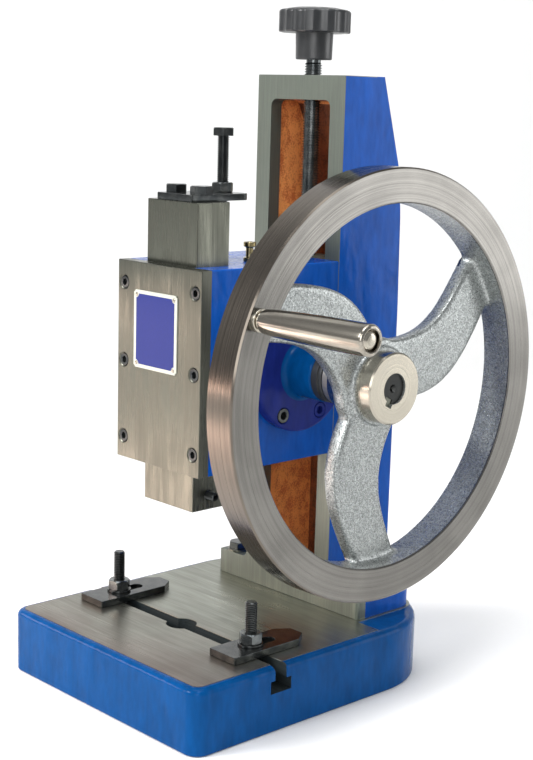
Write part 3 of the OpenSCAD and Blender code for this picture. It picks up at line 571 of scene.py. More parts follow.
def ground_metal(tree, shader, place, metal, along, width, polish, blotch, bare=1):
    """A surface-ground face: straight lines along the stroke, with faint broad clouds. The lines
    are drawn coarser than a grinding wheel's, so that they show."""
    marks = []
    for size, share, detail in ((width, 0.02, 2), (9 * width, 0.1, 3), (30, 0.5, 3)):
        drawn_out = [share if axis == along else 1 for axis in "XYZ"]
        stroke = node(tree, "Mapping", {"Vector": place, "Scale": drawn_out})
        marks.append(node(tree, "TexNoise", {
            "Vector": stroke, "Scale": grain(size), "Detail": detail}))
    lines, streaks, clouds = marks
    broad = node(tree, "Math", (streaks, clouds), operation="ADD")
    both = node(tree, "Math", (lines, broad), operation="ADD")
    surface(tree, shader, (both, 1.2, 1.8), tint(metal, 1 - blotch), tint(metal, 1 + blotch),
            ((streaks, 0.02), (lines, 0.014)), (both, 1.2, 1.8, polish + 0.1, polish - 0.07))
    shader.inputs["Metallic"].default_value = bare


def ground_cast_iron(tree, shader, place):
    """Column rails and foot, ground up and down: a dull greenish grey."""
    ground_metal(tree, shader, place, "ground_iron", "Z", 0.7, 0.42, 0.14, 0.6)


def oiled_cast_iron(tree, shader, place):
    """Slot and hole walls: cut iron painted dark, as painted shade of the recesses."""
    ground_metal(tree, shader, place, "oiled_iron", "X", 1.2, 0.5, 0.25, 0.4)


def ground_table(tree, shader, place):
    """The table, ground from side to side, tinted brown in broad clouds, darker and browner towards the
    front.
    """
    ground_metal(tree, shader, place, "table_iron", "X", 0.7, 0.34, 0.1)
    ground = shader.inputs["Base Color"].links[0].from_socket
    film = node(tree, "TexNoise", {"Vector": place, "Scale": grain(70), "Detail": 4})
    apart = node(tree, "SeparateXYZ", (place,))
    nearness = node(tree, "MapRange", (apart.outputs["Y"], -130 * MM, 60 * MM, 0.75, -0.35))
    share = node(tree, "Math", (nearness, film), operation="ADD")
    surface(tree, shader, (share, 0.35, 1.2), ground, tint("oil_film"))


def surface_ground_steel(tree, shader, place):
    """Ram and cover plate: bright steel with vertical grinding lines."""
    ground_metal(tree, shader, place, "ground_steel", "Z", 0.6, 0.28, 0.15)


def turned_steel(tree, shader, place, centre, metal="turned_steel", width=0.8, polish=0.2,
                 bands=0.17):
    """Turned on a lathe: rings round the axis along X through the centre, drawn coarser than a
    tool's feed, so that they show."""
    across = node(tree, "VectorMath", (place, centre), operation="SUBTRACT")
    flat = node(tree, "VectorMath", (across, (0, 1, 1)), operation="MULTIPLY")
    radius = node(tree, "VectorMath", (flat,), operation="LENGTH")
    apart = node(tree, "SeparateXYZ", (place,))
    reach = node(tree, "Math", (radius.outputs["Value"], apart.outputs["X"]),
                 operation="ADD")  # radius counts on a face, x along a barrel
    rings = node(tree, "TexNoise", {"W": reach, "Scale": grain(width), "Detail": 3},
                 noise_dimensions="1D")
    passes = node(tree, "TexNoise", {"W": reach, "Scale": grain(2.4 * width)},
                  noise_dimensions="1D")
    clouds = node(tree, "TexNoise", {"Vector": place, "Scale": grain(30), "Detail": 2})
    both = node(tree, "Math", (passes, clouds), operation="ADD")
    surface(tree, shader, (both, 0.75, 1.25), tint(metal, 1 - bands), tint(metal, 1 + 0.8 * bands),
            ((passes, 0.12 * bands), (rings, 0.02)), (rings, 0.3, 0.7, polish - 0.06, polish + 0.08))
    shader.inputs["Metallic"].default_value = 1


def aluminium_paint_on_casting(tree, shader, place):
    """Aluminium paint on a sand casting: a pale metal skin that sparkles grain by grain. Its
    flakes are drawn coarser than real ones, so that they show."""
    flakes = node(tree, "TexVoronoi", {"Vector": place, "Scale": grain(0.75)})
    sand = node(tree, "TexNoise", {"Vector": place, "Scale": grain(1.6), "Detail": 3})
    lumps = node(tree, "TexNoise", {"Vector": place, "Scale": grain(14), "Detail": 2})
    level = node(tree, "SeparateColor", {"Color": flakes.outputs["Color"]})
    surface(tree, shader, level, tint("wheel_paint", 0.5), tint("wheel_paint", 1.25),
            ((lumps, 0.5), (sand, 0.22)), (level.outputs["Green"], 0, 1, 0.24, 0.44))
    shader.inputs["Metallic"].default_value = 0.75


def black_oxide_steel(tree, shader, place, wear=1):
    """Steel blackened in a hot bath: near black with brown clouds and a dull oily gloss. A lightness above 1
    paints it paler all over, a painted highlight for bright facets and threads."""
    clouds = node(tree, "TexNoise", {"Vector": place, "Scale": grain(7), "Detail": 4})
    scuffs = node(tree, "TexNoise", {"Vector": place, "Scale": grain(1.2), "Detail": 2})
    brown = tuple(c * k for c, k in zip(tint("black_oxide", 2.4 * wear), (1.06, 1, 0.94, 1)))
    surface(tree, shader, (clouds, 0.4, 0.75), tint("black_oxide", 1.1 * wear), brown,
            ((clouds, 0.03), (scuffs, 0.008)), (scuffs, 0.3, 0.7, 0.14, 0.24))
    shader.inputs["Metallic"].default_value = 0.85


def turned_shaft_steel(tree, shader, place):
    """Dark turned steel of the shaft's end, dulled by handling."""
    clouds = node(tree, "TexNoise", {"Vector": place, "Scale": grain(3), "Detail": 3})
    surface(tree, shader, clouds, tint("black_oxide", 0.9), tint("turned_steel", 0.22),
            ((clouds, 0.03),))
    shader.inputs["Roughness"].default_value = 0.38
    shader.inputs["Metallic"].default_value = 1


def moulded_phenolic(tree, shader, place):
    """Moulded phenolic: deep black with a polished skin and faint flow marks."""
    flow = node(tree, "TexNoise", {"Vector": place, "Scale": grain(9), "Detail": 2})
    surface(tree, shader, flow, tint("plastic", 0.8), tint("plastic", 1.6),
            ((flow, 0.05),), (flow, 0.3, 0.7, 0.3, 0.42))
    shader.inputs["Specular IOR Level"].default_value = 0.7


def nitrile_rubber(tree, shader, place):
    """Black nitrile rubber of the seal: soft sheen and a moulded grain, drawn coarse to show."""
    tooth = node(tree, "TexNoise", {"Vector": place, "Scale": grain(0.8), "Detail": 2})
    surface(tree, shader, tooth, tint("plastic"), tint("plastic", 2), ((tooth, 0.02),))
    shader.inputs["Roughness"].default_value = 0.42


def cast_bronze(tree, shader, place):
    """Bored bearing bronze: warm metal with tool marks."""
    lines = node(tree, "TexNoise", {"Vector": place, "Scale": grain(1.5), "Detail": 3})
    surface(tree, shader, lines, tint("bronze", 0.75), tint("bronze", 1.2), ((lines, 0.01),))
    shader.inputs["Roughness"].default_value = 0.3
    shader.inputs["Metallic"].default_value = 1


def turned_brass(tree, shader, place, metal="brass"):
    """Turned brass: bright yellow metal, dulled in clouds where it has been touched."""
    clouds = node(tree, "TexNoise", {"Vector": place, "Scale": grain(2.5), "Detail": 3})
    surface(tree, shader, clouds, tint(metal, 0.7), tint(metal, 1.2), ((clouds, 0.015),))
    shader.inputs["Roughness"].default_value = 0.24
    shader.inputs["Metallic"].default_value = 1


def enamelled_aluminium(tree, shader, place, paint):
    """Printed enamel on sheet aluminium: flat colour under a thin gloss, with a tooth that is
    drawn coarse to show."""
    tooth = node(tree, "TexNoise", {"Vector": place, "Scale": grain(1.1), "Detail": 2})
    surface(tree, shader, tooth, tint(paint, 0.86), tint(paint, 1.1), ((tooth, 0.012),))
    shader.inputs["Roughness"].default_value = 0.34
    shader.inputs["Specular IOR Level"].default_value = 0.3


def polished_plating(tree, shader, place):
    """Plated steel polished along its length: a soft mirror with drawn-out lines."""
    stroke = node(tree, "Mapping", {"Vector": place, "Scale": (0.06, 1, 1)})
    lines = node(tree, "TexNoise", {"Vector": stroke, "Scale": grain(2.2), "Detail": 3})
    surface(tree, shader, (lines, 0.3, 0.7), tint("chrome", 0.6), tint("chrome", 1.2),
            ((lines, 0.006),), (lines, 0.3, 0.7, 0.24, 0.14))
    shader.inputs["Metallic"].default_value = 1


def matt_studio_sheet(tree, shader, place):
    """Pale paper sweep of the studio, with a faint fibre."""
    fibre = node(tree, "TexNoise", {"Vector": place, "Scale": grain(4), "Detail": 2})
    surface(tree, shader, fibre, tint("floor", 0.985), tint("floor"))
    shader.inputs["Roughness"].default_value = 0.9
    shader.inputs["Specular IOR Level"].default_value = 0.1


def fine_turning(name, centre, **options):
    """Freshly turned steel with close rings, round a centre in millimetres."""
    return finish(turned_steel, name, centre=centre * MM, metal="hub_steel", width=0.5, bands=0.1,
                  **options)


def blackened(name, made, body, worn=False):
    """A piece of black oxide steel; a lightened one is painted paler all over, as a painted highlight."""
    steel = (finish(black_oxide_steel, "worn_oxide", wear=2.6) if worn
             else finish(black_oxide_steel))
    piece(name, made, body, [name], [steel])


# ---------------------------------------------------------------- places, in millimetres


def joint_place(name):
    """A joint's place, in millimetres."""
    found = next(joint for joint in frame["joints"] if joint["name"] == name)
    return Vector(found["pos_m"]) / MM


SHAFT = joint_place("wheel_turn")
HANDLE = joint_place("grip_spin")
KNOB = joint_place("knob_turn")
TABLE = span("base")[1].z
RAIL_FACE = span("column")[0].y
CLEARANCE = 0.1  # between parts that slide or slip on one another

# Standard fasteners: thread, width across flats or head diameter, head height
M8_HEX = (8, 13, 5.3)
M8_NUT = (8, 14, 7)
M8_STOP_NUT = (8, 13, 6.5)
M6_CAP = (6, 10, 6)
M5_CAP = (5, 8.5, 5)
M6_SOCKET, M5_SOCKET = 5, 4
M8_WASHER_BORE = 8.6

COLUMN_WIDTH = 85
COLUMN_CORNER = 4
COLUMN_BELLY = (0.9, 26)  # how far the sides draw in towards the back, and over what depth
COLUMN_TOP_DEPTH = 42
COLUMN_WALL = 8.5
RAIL_DEPTH = 10
WINDOW_WIDTH = 57.5
WINDOW_STEP = 6  # from the foot up to the window
CROWN = 16.5  # metal above the window
FOOT_TOP = TABLE + 18
FOOT_DEPTH = 61.5
FOOT_CORNER = 16
FOOT_BOLTS = [(side * 60, RAIL_FACE + back) for side in (-1, 1) for back in (8, 51.5)]
BARE_STRIP = 8  # of the foot, machined with the rails
SCREW_HOLE = 6.2
JOURNAL = 5  # radius of the elevating screw's plain ends
TOP_BOLTS = (-12.5, 12.5)  # x of the bolts in the plate on the ram


def on_shaft(made):
    return moved(made, y=SHAFT.y, z=SHAFT.z, turn=ALONG_X)


def on_handle(made, x):
    return moved(made, x=x, y=HANDLE.y, z=HANDLE.z, turn=ALONG_X)


def on_screw(made, z=0):
    return moved(made, x=KNOB.x, y=KNOB.y, z=z)


# ---------------------------------------------------------------- stand


class PRESS_OT_base(bpy.types.Operator):
    """Base casting with its ground table, T-slot and slug hole"""
    bl_idname = "press.base"
    bl_label = "Base"

    def execute(self, context):
        s = sizes()
        low, high = span("base")
        edge = s["base_edge"]
        skin_top = TABLE - s["table_step"]

        def plan(inset):
            front, rear = s["base_front_radius"], s["base_rear_radius"]
            x_front, x_rear = high.x - front, high.x - rear
            y_front, y_rear = low.y + front, high.y - rear
            return (arc((-x_front, y_front), front - inset, 180, 270, 12)
                    + arc((x_front, y_front), front - inset, 270, 360, 12)
                    + arc((x_rear, y_rear), rear - inset, 0, 90, 30)
                    + arc((-x_rear, y_rear), rear - inset, 90, 180, 30))

        def ring(inset, z):
            return [(x, y, z) for x, y in plan(inset)]

        foot = [(1.5, 0), (0.8, 0.2), (0.2, 0.8), (0, 1.5)]
        roll = [(inset, skin_top - drop) for inset, drop in quarter_round(edge, 0, 9)]
        casting = skin([ring(inset, z) for inset, z in foot + roll])

        margin, rooted = edge + 0.8, skin_top - 2  # the table starts inside the casting
        table_rear = RAIL_FACE - 1.5
        table = cut(prism(plan(margin), rooted, TABLE),
                    block((-70, table_rear, rooted - PAST), (high.x + PAST, high.y + PAST, TABLE + PAST)))
        seat = prism(rectangle(-75, table_rear - 5, 75, RAIL_FACE + FOOT_DEPTH + 1,
                               [0, 0, FOOT_CORNER, FOOT_CORNER]), rooted, TABLE)
        weld(casting, table, seat)

        wall, depth, hole = 14, 16, 10  # of the hollow underside, and the slug hole's radius
        hollow = s["base_rear_radius"] - wall
        inner = rectangle(low.x + wall, low.y + wall, high.x - wall, high.y - 20,
                          [5, 5, hollow, hollow], 16)
        slot_floor = TABLE - s["slot_lip"] - 8.5
        neck, head = s["slot_neck"] / 2, s["slot_head"] / 2
        cut(casting, prism(inner, -PAST, depth),
            block((low.x - PAST, -neck, slot_floor + PAST), (high.x + PAST, neck, TABLE + PAST)),
            block((low.x - PAST, -head, slot_floor), (high.x + PAST, head, TABLE - s["slot_lip"])),
            rod(hole, -PAST, slot_floor + PAST), rod(hole + 0.5, slot_floor, TABLE + PAST))
        soften(casting, s["ground_edge"], where=lambda p: p.z > slot_floor + 9 and abs(p.y) < 11)

        def face_finish(middle, normal):
            if middle.z > skin_top + 0.01:
                return 1
            in_slot = abs(middle.y) < head + 0.1 and abs(middle.x) < high.x - 1
            in_hole = math.hypot(middle.x, middle.y) < hole + 0.6 and middle.z > depth
            # The slot and hole walls take the dark iron: painted shade.
            return 2 if in_hole or (in_slot and middle.z > slot_floor - 0.1) else 0

        piece("base", casting, "stand", ["base"],
              [finish(enamel_on_cast_iron, "base_enamel", paint="base_paint"), finish(ground_table),
               finish(oiled_cast_iron)], face_finish)
        return {"FINISHED"}


class PRESS_OT_column(bpy.types.Operator):
    """Hollow column with its rails, window and foot"""
    bl_idname = "press.column"
    bl_label = "Column"

    def execute(self, context):
        s = sizes()
        low, high = span("column")
        half = COLUMN_WIDTH / 2
        depth = high.y - RAIL_FACE
        slope = high.z - 62  # from here up the back leans forward
        back = eased([(TABLE, depth), (slope - 100, depth), (slope - 30, depth - 1.5), (slope, depth - 5),
                      (high.z, COLUMN_TOP_DEPTH)], [0, 800, 200, 60, 0], steps=6)

        def ring(deep, z, flare=0):
            corner, (belly, reach) = COLUMN_CORNER, COLUMN_BELLY
            x, y = half + flare - belly - corner, RAIL_FACE + deep - corner
            bulge = [(half + flare - belly * t * t, y - reach * (1 - t)) for t in (0, 0.25, 0.5, 0.75)]
            right = [(half + flare, RAIL_FACE)] + bulge + arc((x, y), corner, 0, 90, 8)
            outline = right + [(-px, py) for px, py in reversed(right)]
            return [(px, py, z) for px, py in outline]

        root = 5  # radius of the casting where the column stands on its foot
        rings = [ring(depth, TABLE, root)]
        rings += [ring(depth, FOOT_TOP + rise, out) for rise, out in quarter_round(root, 10, 16)]
        rings += [ring(deep, z) for z, deep in back[1:]]
        foot = prism(rectangle(low.x, RAIL_FACE, high.x, RAIL_FACE + FOOT_DEPTH,
                               [3, 3, FOOT_CORNER, FOOT_CORNER], 8), TABLE, FOOT_TOP)
        soften(foot, 1.6, 3, where=lambda p: p.z > FOOT_TOP - 0.1 and p.y > RAIL_FACE + 1)
        casting = weld(skin(rings), foot)

        window_top, window_low = high.z - CROWN, FOOT_TOP + WINDOW_STEP
        inner, rail_back = half - COLUMN_WALL, RAIL_FACE + RAIL_DEPTH
        rear = RAIL_FACE + depth - COLUMN_WALL
        cavity = eased([(rail_back, TABLE - PAST), (rear, TABLE - PAST), (rear, slope - 100),
                        (rear - 5, slope), (RAIL_FACE + COLUMN_TOP_DEPTH - 11, window_top),
                        (rail_back, window_top)], [0, 0, 0, 30, 8, 3], closed=True)
        room = prism(cavity, -inner, inner)
        side = WINDOW_WIDTH / 2
        opening = prism(rectangle(-side, window_low, side, window_top, [1, 1, 5, 5]),
                        -RAIL_DEPTH - PAST, PAST)
        cut(casting, moved(room, turn=ALONG_X),
            moved(opening, y=RAIL_FACE, turn=Matrix.Rotation(math.radians(90), 4, "X")),
            on_screw(rod(SCREW_HOLE, window_top - PAST, high.z + PAST)))
        soften(casting, s["ground_edge"], where=lambda p: p.y < RAIL_FACE + 0.1 or (
            p.z > high.z - 0.1 and p.y < rail_back + 20))

        def face_finish(middle, normal):
            in_rail = middle.y < rail_back - 0.2
            if middle.y < RAIL_FACE + 0.6 or middle.z > high.z - 0.6:
                return 1
            if middle.z < FOOT_TOP + 0.1 and middle.y < RAIL_FACE + BARE_STRIP:
                return 1
            if abs(middle.x) < side + 0.6 and in_rail:
                return 1
            outside = normal.y > 0.2 and middle.y > rail_back + 1
            if abs(middle.x) < inner + 0.2 and rail_back - 0.2 < middle.y < rear + 0.5 and not outside:
                # The cavity's back wall, facing forward, takes primer darkened to a sixth: painted shade.
                return 3 if normal.y < -0.7 else 2
            return 0

        score(casting, (0, RAIL_FACE + BARE_STRIP, 0), (0, 1, 0))
        piece("column", casting, "stand", ["column"],
              [finish(enamel_on_cast_iron, "machine_enamel", paint="machine_paint"),
               finish(ground_cast_iron), finish(red_lead_primer),
               # A sixth of the primer's colour: painted shade for the back wall, which lies in shadow.
               finish(red_lead_primer, "grimy_primer", share=0.16)], face_finish)
        return {"FINISHED"}


class PRESS_OT_column_bolts(bpy.types.Operator):
    """Bolts and washers that hold the column on the base"""
    bl_idname = "press.column_bolts"
    bl_label = "Column Bolts"

    def execute(self, context):
        washer_top = span("column_washers")[1].z
        shank = washer_top - span("column_bolts")[0].z
        turns = (12, 47, 31, 5)  # where each head came to rest, in degrees
        bolts = [moved(hex_bolt(*M8_HEX, shank), x, y, washer_top, about_z(math.radians(turn)))
                 for (x, y), turn in zip(FOOT_BOLTS, turns)]
        blackened("column_bolts", gather(*bolts), "stand")
        rings = [moved(washer(17, M8_WASHER_BORE, FOOT_TOP, washer_top), x, y) for x, y in FOOT_BOLTS]
        piece("column_washers", gather(*rings), "stand", ["column_washers"],
              [finish(surface_ground_steel)])
        return {"FINISHED"}


# ---------------------------------------------------------------- head


class PRESS_OT_head(bpy.types.Operator):
    """Head casting that slides on the column and guides the ram"""
    bl_idname = "press.head"
    bl_label = "Head"

    def execute(self, context):
        s = sizes()
        low, high = span("head")
        tongue_back = span("left_keeper")[0].y - CLEARANCE
        back = RAIL_FACE - CLEARANCE
        casting = block(low, (high.x, back, high.z))
        soften(casting, s["cast_edge"], 3, where=lambda p: low.y + 0.1 < p.y < back - 0.1)
        tongue = WINDOW_WIDTH / 2 - CLEARANCE
        lug, lug_low = 13.5, high.z - 25
        weld(casting, block((-tongue, back - PAST, low.z), (tongue, tongue_back, high.z)),
             block((-lug, back - PAST, lug_low), (lug, high.y, high.z)))

        ram_low, ram_high = span("ram")
        rack_low, rack_high = span("rack")
        chamber, bush, collar, room = 25, 12, 10, 0.5  # three radii, and the space round the rack
        chamber_end, bush_end = -14, -37
        cut(casting,
            block((ram_low.x - CLEARANCE, low.y - PAST, low.z - PAST),
                  (ram_high.x + CLEARANCE, ram_high.y + CLEARANCE, high.z + PAST)),
            block((rack_low.x - room, 0, low.z - PAST),
                  (rack_high.x + room, rack_high.y + room, rack_high.z + 14.8)),
            on_shaft(rod(chamber, chamber_end, high.x + PAST)), on_shaft(rod(bush, bush_end, 0)),
            on_screw(rod(JOURNAL + FIT, lug_low - PAST, high.z + PAST)),
            on_screw(rod(collar, lug_low - 30, lug_low)))
        soften(casting, s["ground_edge"], 1,
               where=lambda p: abs(p.z - high.z) < 0.1 or abs(p.z - low.z) < 0.1)

        def face_finish(middle, normal):
            inside = abs(middle.x) < ram_high.x + 0.3 and middle.y < ram_high.y + 0.3
            if middle.y < low.y + 0.05 or inside:
                return 1
            return 1 if middle.y > back - 0.7 else 0

        piece("head", casting, "head", ["head"],
              [finish(enamel_on_cast_iron, "machine_enamel", paint="machine_paint"),
               finish(ground_cast_iron)], face_finish)
        return {"FINISHED"}


COVER_SCREW_INSET = (6.5, 14.7)  # from the cover's side edge, and from its ends
COVER_RECESS = 5.2


def cover_places():
    """Where the cover's screws sit, as x and z."""
    low, high = span("cover_plate")
    middle, reach = (low.z + high.z) / 2, (high.z - low.z) / 2 - COVER_SCREW_INSET[1]
    return [(side * (high.x - COVER_SCREW_INSET[0]), middle + step * reach)
            for side in (-1, 1) for step in (-1, 0, 1)]


class PRESS_OT_cover(bpy.types.Operator):
    """Cover plate that closes the ram's guideway, with its screws"""
    bl_idname = "press.cover"
    bl_label = "Cover Plate"

    def execute(self, context):
        s = sizes()
        low, high = span("cover_plate")
        back = span("head")[0].y
        plate = block(low, (high.x, back, high.z))
        soften(plate, s["ground_edge"], 2, where=lambda p: p.y < back - 0.1)
        land = span("ram")[1].x
        weld(plate, block((-land, back - PAST, low.z), (land, high.y, high.z)))
        sink, clear = 4.55, 2.6  # radii of the hole round a screw's head and its shank
        mouth = [(0, -PAST), (5.4, -PAST), (5.05, 0.35), (sink, 0.7), (sink, COVER_RECESS),
                 (clear, COVER_RECESS), (clear, 30), (0, 30)]
        holes = [moved(lathe(mouth, 40), x, low.y, z, ALONG_Y) for x, z in cover_places()]
        piece("cover_plate", cut(plate, *holes), "head", ["cover_plate"],
              [finish(surface_ground_steel)])

        outward = ALONG_Y @ Matrix.Rotation(math.pi, 4, "X")
        screws = [moved(cap_screw(*M5_CAP, 15, M5_SOCKET), x, low.y + COVER_RECESS, z,
                        outward @ about_z(0.7 * i))
                  for i, (x, z) in enumerate(cover_places())]
        blackened("cover_screws", gather(*screws), "head")
        return {"FINISHED"}


def scooped(x0, y0, x1, y1, radius):
    """A rectangle whose corners are cut out by arcs."""
    corners = ((x0, y0, 90, 0), (x1, y0, 180, 90), (x1, y1, 270, 180), (x0, y1, 360, 270))
    outline = []
    for x, y, start, end in corners:
        outline += arc((x, y), radius, start, end, 8)
    return outline


class PRESS_OT_nameplate(bpy.types.Operator):
    """Bare nameplate with a pale border, and its rivets"""
    bl_idname = "press.nameplate"
    bl_label = "Nameplate"

    def execute(self, context):
        low, high = span("nameplate")
        face, thick = high.y, high.y - low.y
        border, film = 2.4, 0.06  # width of the border, and how far the field stands out from it

        def outline(inset, radius):
            return scooped(low.x + inset, -high.z + inset, high.x - inset, -low.z - inset, radius)

        sheet = prism(outline(0, 1.5), -thick + film, 0)
        field = prism(outline(border, 2.7), -thick, -thick / 2)
        plate = moved(weld(sheet, field), y=face, turn=ALONG_Y)
        piece("nameplate", plate, "head", ["nameplate"],
              [finish(enamelled_aluminium, "plate_border_enamel", paint="plate_border"),
               finish(enamelled_aluminium, "plate_field_enamel", paint="plate_field")],
              lambda middle, normal: 1 if middle.y < low.y + film * 0.9 else 0)

        inset = 3
        seat = film - thick
        dome = [(0, 1.8), (0.75, 1.8), (0.75, seat), (1.4, seat), (1.25, seat - 0.35),
                (0.8, seat - 0.6), (0, seat - 0.7)]
        rivets = [moved(lathe(dome, 24), x, face, z, ALONG_Y)
                  for x in (low.x + inset, high.x - inset) for z in (low.z + inset, high.z - inset)]
        piece("nameplate_rivets", gather(*rivets), "head", ["nameplate_rivets"],
              [finish(turned_brass, "tinned_brass", metal="hub_steel")], crease=50)
        return {"FINISHED"}


HOUSING_BOLT_CIRCLE = 34
HOUSING_BOLT_ANGLES = (60, 120, 240, 300)
HOUSING_RECESS = 6  # how deep the screws' heads sit


def housing_places():
    """Where the housing's screws sit round the shaft, as y and z."""
    angles = [math.radians(angle) for angle in HOUSING_BOLT_ANGLES]
    return [(HOUSING_BOLT_CIRCLE * math.cos(a), HOUSING_BOLT_CIRCLE * math.sin(a)) for a in angles]


class PRESS_OT_housing(bpy.types.Operator):
    """Bearing housing on the head's side, with its screws and seal"""
    bl_idname = "press.housing"
    bl_label = "Bearing Housing"

    def execute(self, context):
        low, high = span("bearing_housing")
        face = span("head")[1].x
        flange, flange_x = 42, face + 7.5
        seat = flange_x - HOUSING_RECESS
        bore, mouth, boss, spigot = 10.6, 12, 18, 24.95  # radii
        spigot_end, mouth_end = 14, high.x - 30
        profile = eased([(bore, spigot_end), (spigot, spigot_end), (spigot, face), (flange, face),
                         (flange, flange_x), (boss, flange_x), (boss, high.x), (mouth, high.x),
                         (mouth, mouth_end), (bore, mouth_end)],
                        [0, 0.5, 0, 0.6, 1.4, 4, 2, 0.6, 0, 0], closed=True, steps=6)
        sink, clear = 5.4, 3.1  # radii of the hole round a screw's head and its shank
        hole = [(0, face - PAST), (clear, face - PAST), (clear, seat), (sink, seat),
                (sink, flange_x - 0.5), (6.6, flange_x + 0.7), (0, flange_x + 0.7)]
        casting = cut(on_shaft(lathe(profile, 96, ring=True)),
                      block((low.x - PAST, high.y, low.z - PAST),
                            (high.x + PAST, high.y + 20, high.z + PAST)),
                      *[on_shaft(moved(lathe(hole, 36), y, z)) for y, z in housing_places()])
        # One enamel covers the whole casting: the flange gets a darker blue as painted shade, and the boss
        # the base's brighter blue as painted light.
        enamel = finish(enamel_on_cast_iron, "flange_enamel", paint="housing_paint")
        piece("bearing_housing", casting, "head", ["bearing_housing"],
              [enamel, finish(enamel_on_cast_iron, "boss_enamel", paint="base_paint")],
              lambda middle, normal: 1 if middle.x > flange_x + 0.3 else 0)

        screws = []
        for i, (y, z) in enumerate(housing_places()):
            screw = moved(cap_screw(*M6_CAP, 14, M6_SOCKET), turn=about_z(0.9 * i))
            screws.append(on_shaft(moved(screw, y, z, seat)))
        # The rear screws are painted over, in the flange's darker blue of painted shade.
        piece("housing_screws", gather(*screws), "head", ["housing_screws"],
              [finish(black_oxide_steel), enamel], lambda middle, normal: 1 if middle.y > SHAFT.y else 0)

        low, high = span("seal_ring")
        bore, outer = 10.2, (high.y - low.y) / 2
        groove = outer - 0.9
        lip = eased([(bore, low.x), (outer, low.x), (outer, low.x + 5), (groove, low.x + 5.6),
                     (groove, low.x + 6.6), (outer, low.x + 7.2), (outer, high.x), (13, high.x),
                     (11, high.x - 1.5), (bore, high.x - 1.5)],
                    [0, 0, 0.2, 0.2, 0.2, 0.2, 1, 0.5, 0.3, 0], closed=True, steps=3)
        piece("seal_ring", on_shaft(lathe(lip, 64, ring=True)), "head", ["seal_ring"],
              [finish(nitrile_rubber)])
        return {"FINISHED"}


class PRESS_OT_oil_cup(bpy.types.Operator):
    """Brass oil cup with its spring ball"""
    bl_idname = "press.oil_cup"
    bl_label = "Oil Cup"

    def execute(self, context):
        low, high = span("oil_cup")
        middle = (low + high) / 2
        seat, rim = span("head")[1].z, (high.x - low.x) / 2
        shank, neck, ball, sunk = 3, 2.6, 1.7, 1.75  # radii, and the ball's middle below the rim
        body = eased([(0, low.z), (shank, low.z), (shank, seat), (rim, seat), (rim, seat + 2.6),
                      (neck, seat + 2.9), (neck, high.z - 3.6), (rim, high.z - 3), (rim, high.z),
                      (2.1, high.z), (1.9, high.z - 1), (0, high.z - 1)],
                     [0, 0.4, 0, 0.3, 0.4, 0.5, 0.6, 0.3, 0.4, 0.2, 0.1, 0], steps=3)
        meridian = [(0, -ball)] + arc((0, 0), ball, -75, 75, 10) + [(0, ball)]
        made = gather(moved(lathe(body, 48), middle.x, middle.y),
                      moved(lathe(meridian, 32), middle.x, middle.y, high.z - sunk))
        piece("oil_cup", made, "head", ["oil_cup"], [finish(turned_brass)])
        return {"FINISHED"}


# ---------------------------------------------------------------- elevating screw


class PRESS_OT_elevating_screw(bpy.types.Operator):
    """Elevating screw with its thread and plain ends"""
    bl_idname = "press.elevating_screw"
    bl_label = "Elevating Screw"

    def execute(self, context):
        s = sizes()
        low, high = span("elevating_screw")
        knob_low = span("height_knob")[0].z
        seat = span("head")[1].z + 0.3
        screw = thread(high.x - low.x, s["lead"], seat, knob_low - 2, segments=24, lead_in=1)
        side = [(0, low.z), (JOURNAL, low.z), (JOURNAL, high.z), (0, high.z)]
        stem = lathe(eased(side, [0, 0.6, 0, 0]), 40)
        # The paler oxide is a painted highlight on the thread's crests.
        blackened("elevating_screw", on_screw(weld(screw, stem)), "screw", worn=True)
        return {"FINISHED"}


KNOB_FLUTES = 10
FLUTE_RADIUS = 9
FLUTE_DEPTH = 1.5
FLUTE_EDGE = 0.9  # how softly a flute runs out


class PRESS_OT_knob(bpy.types.Operator):
    """Fluted knob on the elevating screw"""
    bl_idname = "press.knob"
    bl_label = "Knob"

    def execute(self, context):
        low, high = span("height_knob")
        outer, hub = (high.x - low.x) / 2, 13
        top, bottom = high.z - low.z, 18  # of the fluted part, over the boss
        reach = outer + FLUTE_RADIUS - FLUTE_DEPTH

        def swell(angle):
            """Radius at an angle as a share of the knob's, with the flutes' edges rounded."""
            pitch = math.tau / KNOB_FLUTES
            off = (angle + pitch / 2) % pitch - pitch / 2
            side = reach * math.sin(off)
            if abs(side) >= FLUTE_RADIUS:
                return 1
            flute = reach * math.cos(off) - math.sqrt(FLUTE_RADIUS ** 2 - side ** 2)
            gap = max(FLUTE_EDGE - abs(outer - flute), 0)
            return (min(outer, flute) - gap * gap / FLUTE_EDGE / 4) / outer

        rim = eased([(hub, bottom), (outer, bottom), (outer, top - 2.2), (outer * 0.6, top - 0.4), (0, top)],
                    [0, 1, 2, 14, 0], steps=6)
        head = lathe([(0, bottom)] + rim, 240, swell=swell)
        boss = eased([(0, 0), (hub - 0.5, 0), (hub, bottom + 1), (0, bottom + 1)], [0, 0.8, 0, 0], steps=6)
        knob = weld(head, lathe(boss, 64))
        cut(knob, rod(JOURNAL + FIT, -PAST, bottom - 0.5))
        piece("height_knob", on_screw(knob, low.z), "screw", ["height_knob"],
              [finish(moulded_phenolic)], crease=40)
        return {"FINISHED"}


# ---------------------------------------------------------------- handwheel

SPOKES = 3
RIM_WIDTH, RIM_DEPTH = 22, 22.2
WEB_X, HUB_RADIUS, DISC_RADIUS = 106, 23.2, 31
KEY_ANGLE, KEY_WIDTH, KEY_RISE = 243, 6, 2.6
SHAFT_RADIUS, SPINDLE_RADIUS = 10, 4
SPINDLE_DEPTH = 15  # of the handle's spindle in the rim
SPINDLE_FLOOR_X = 115  # where the spindle's hole ends
HUB_FIT = 0.03  # play of the wheel on its shaft


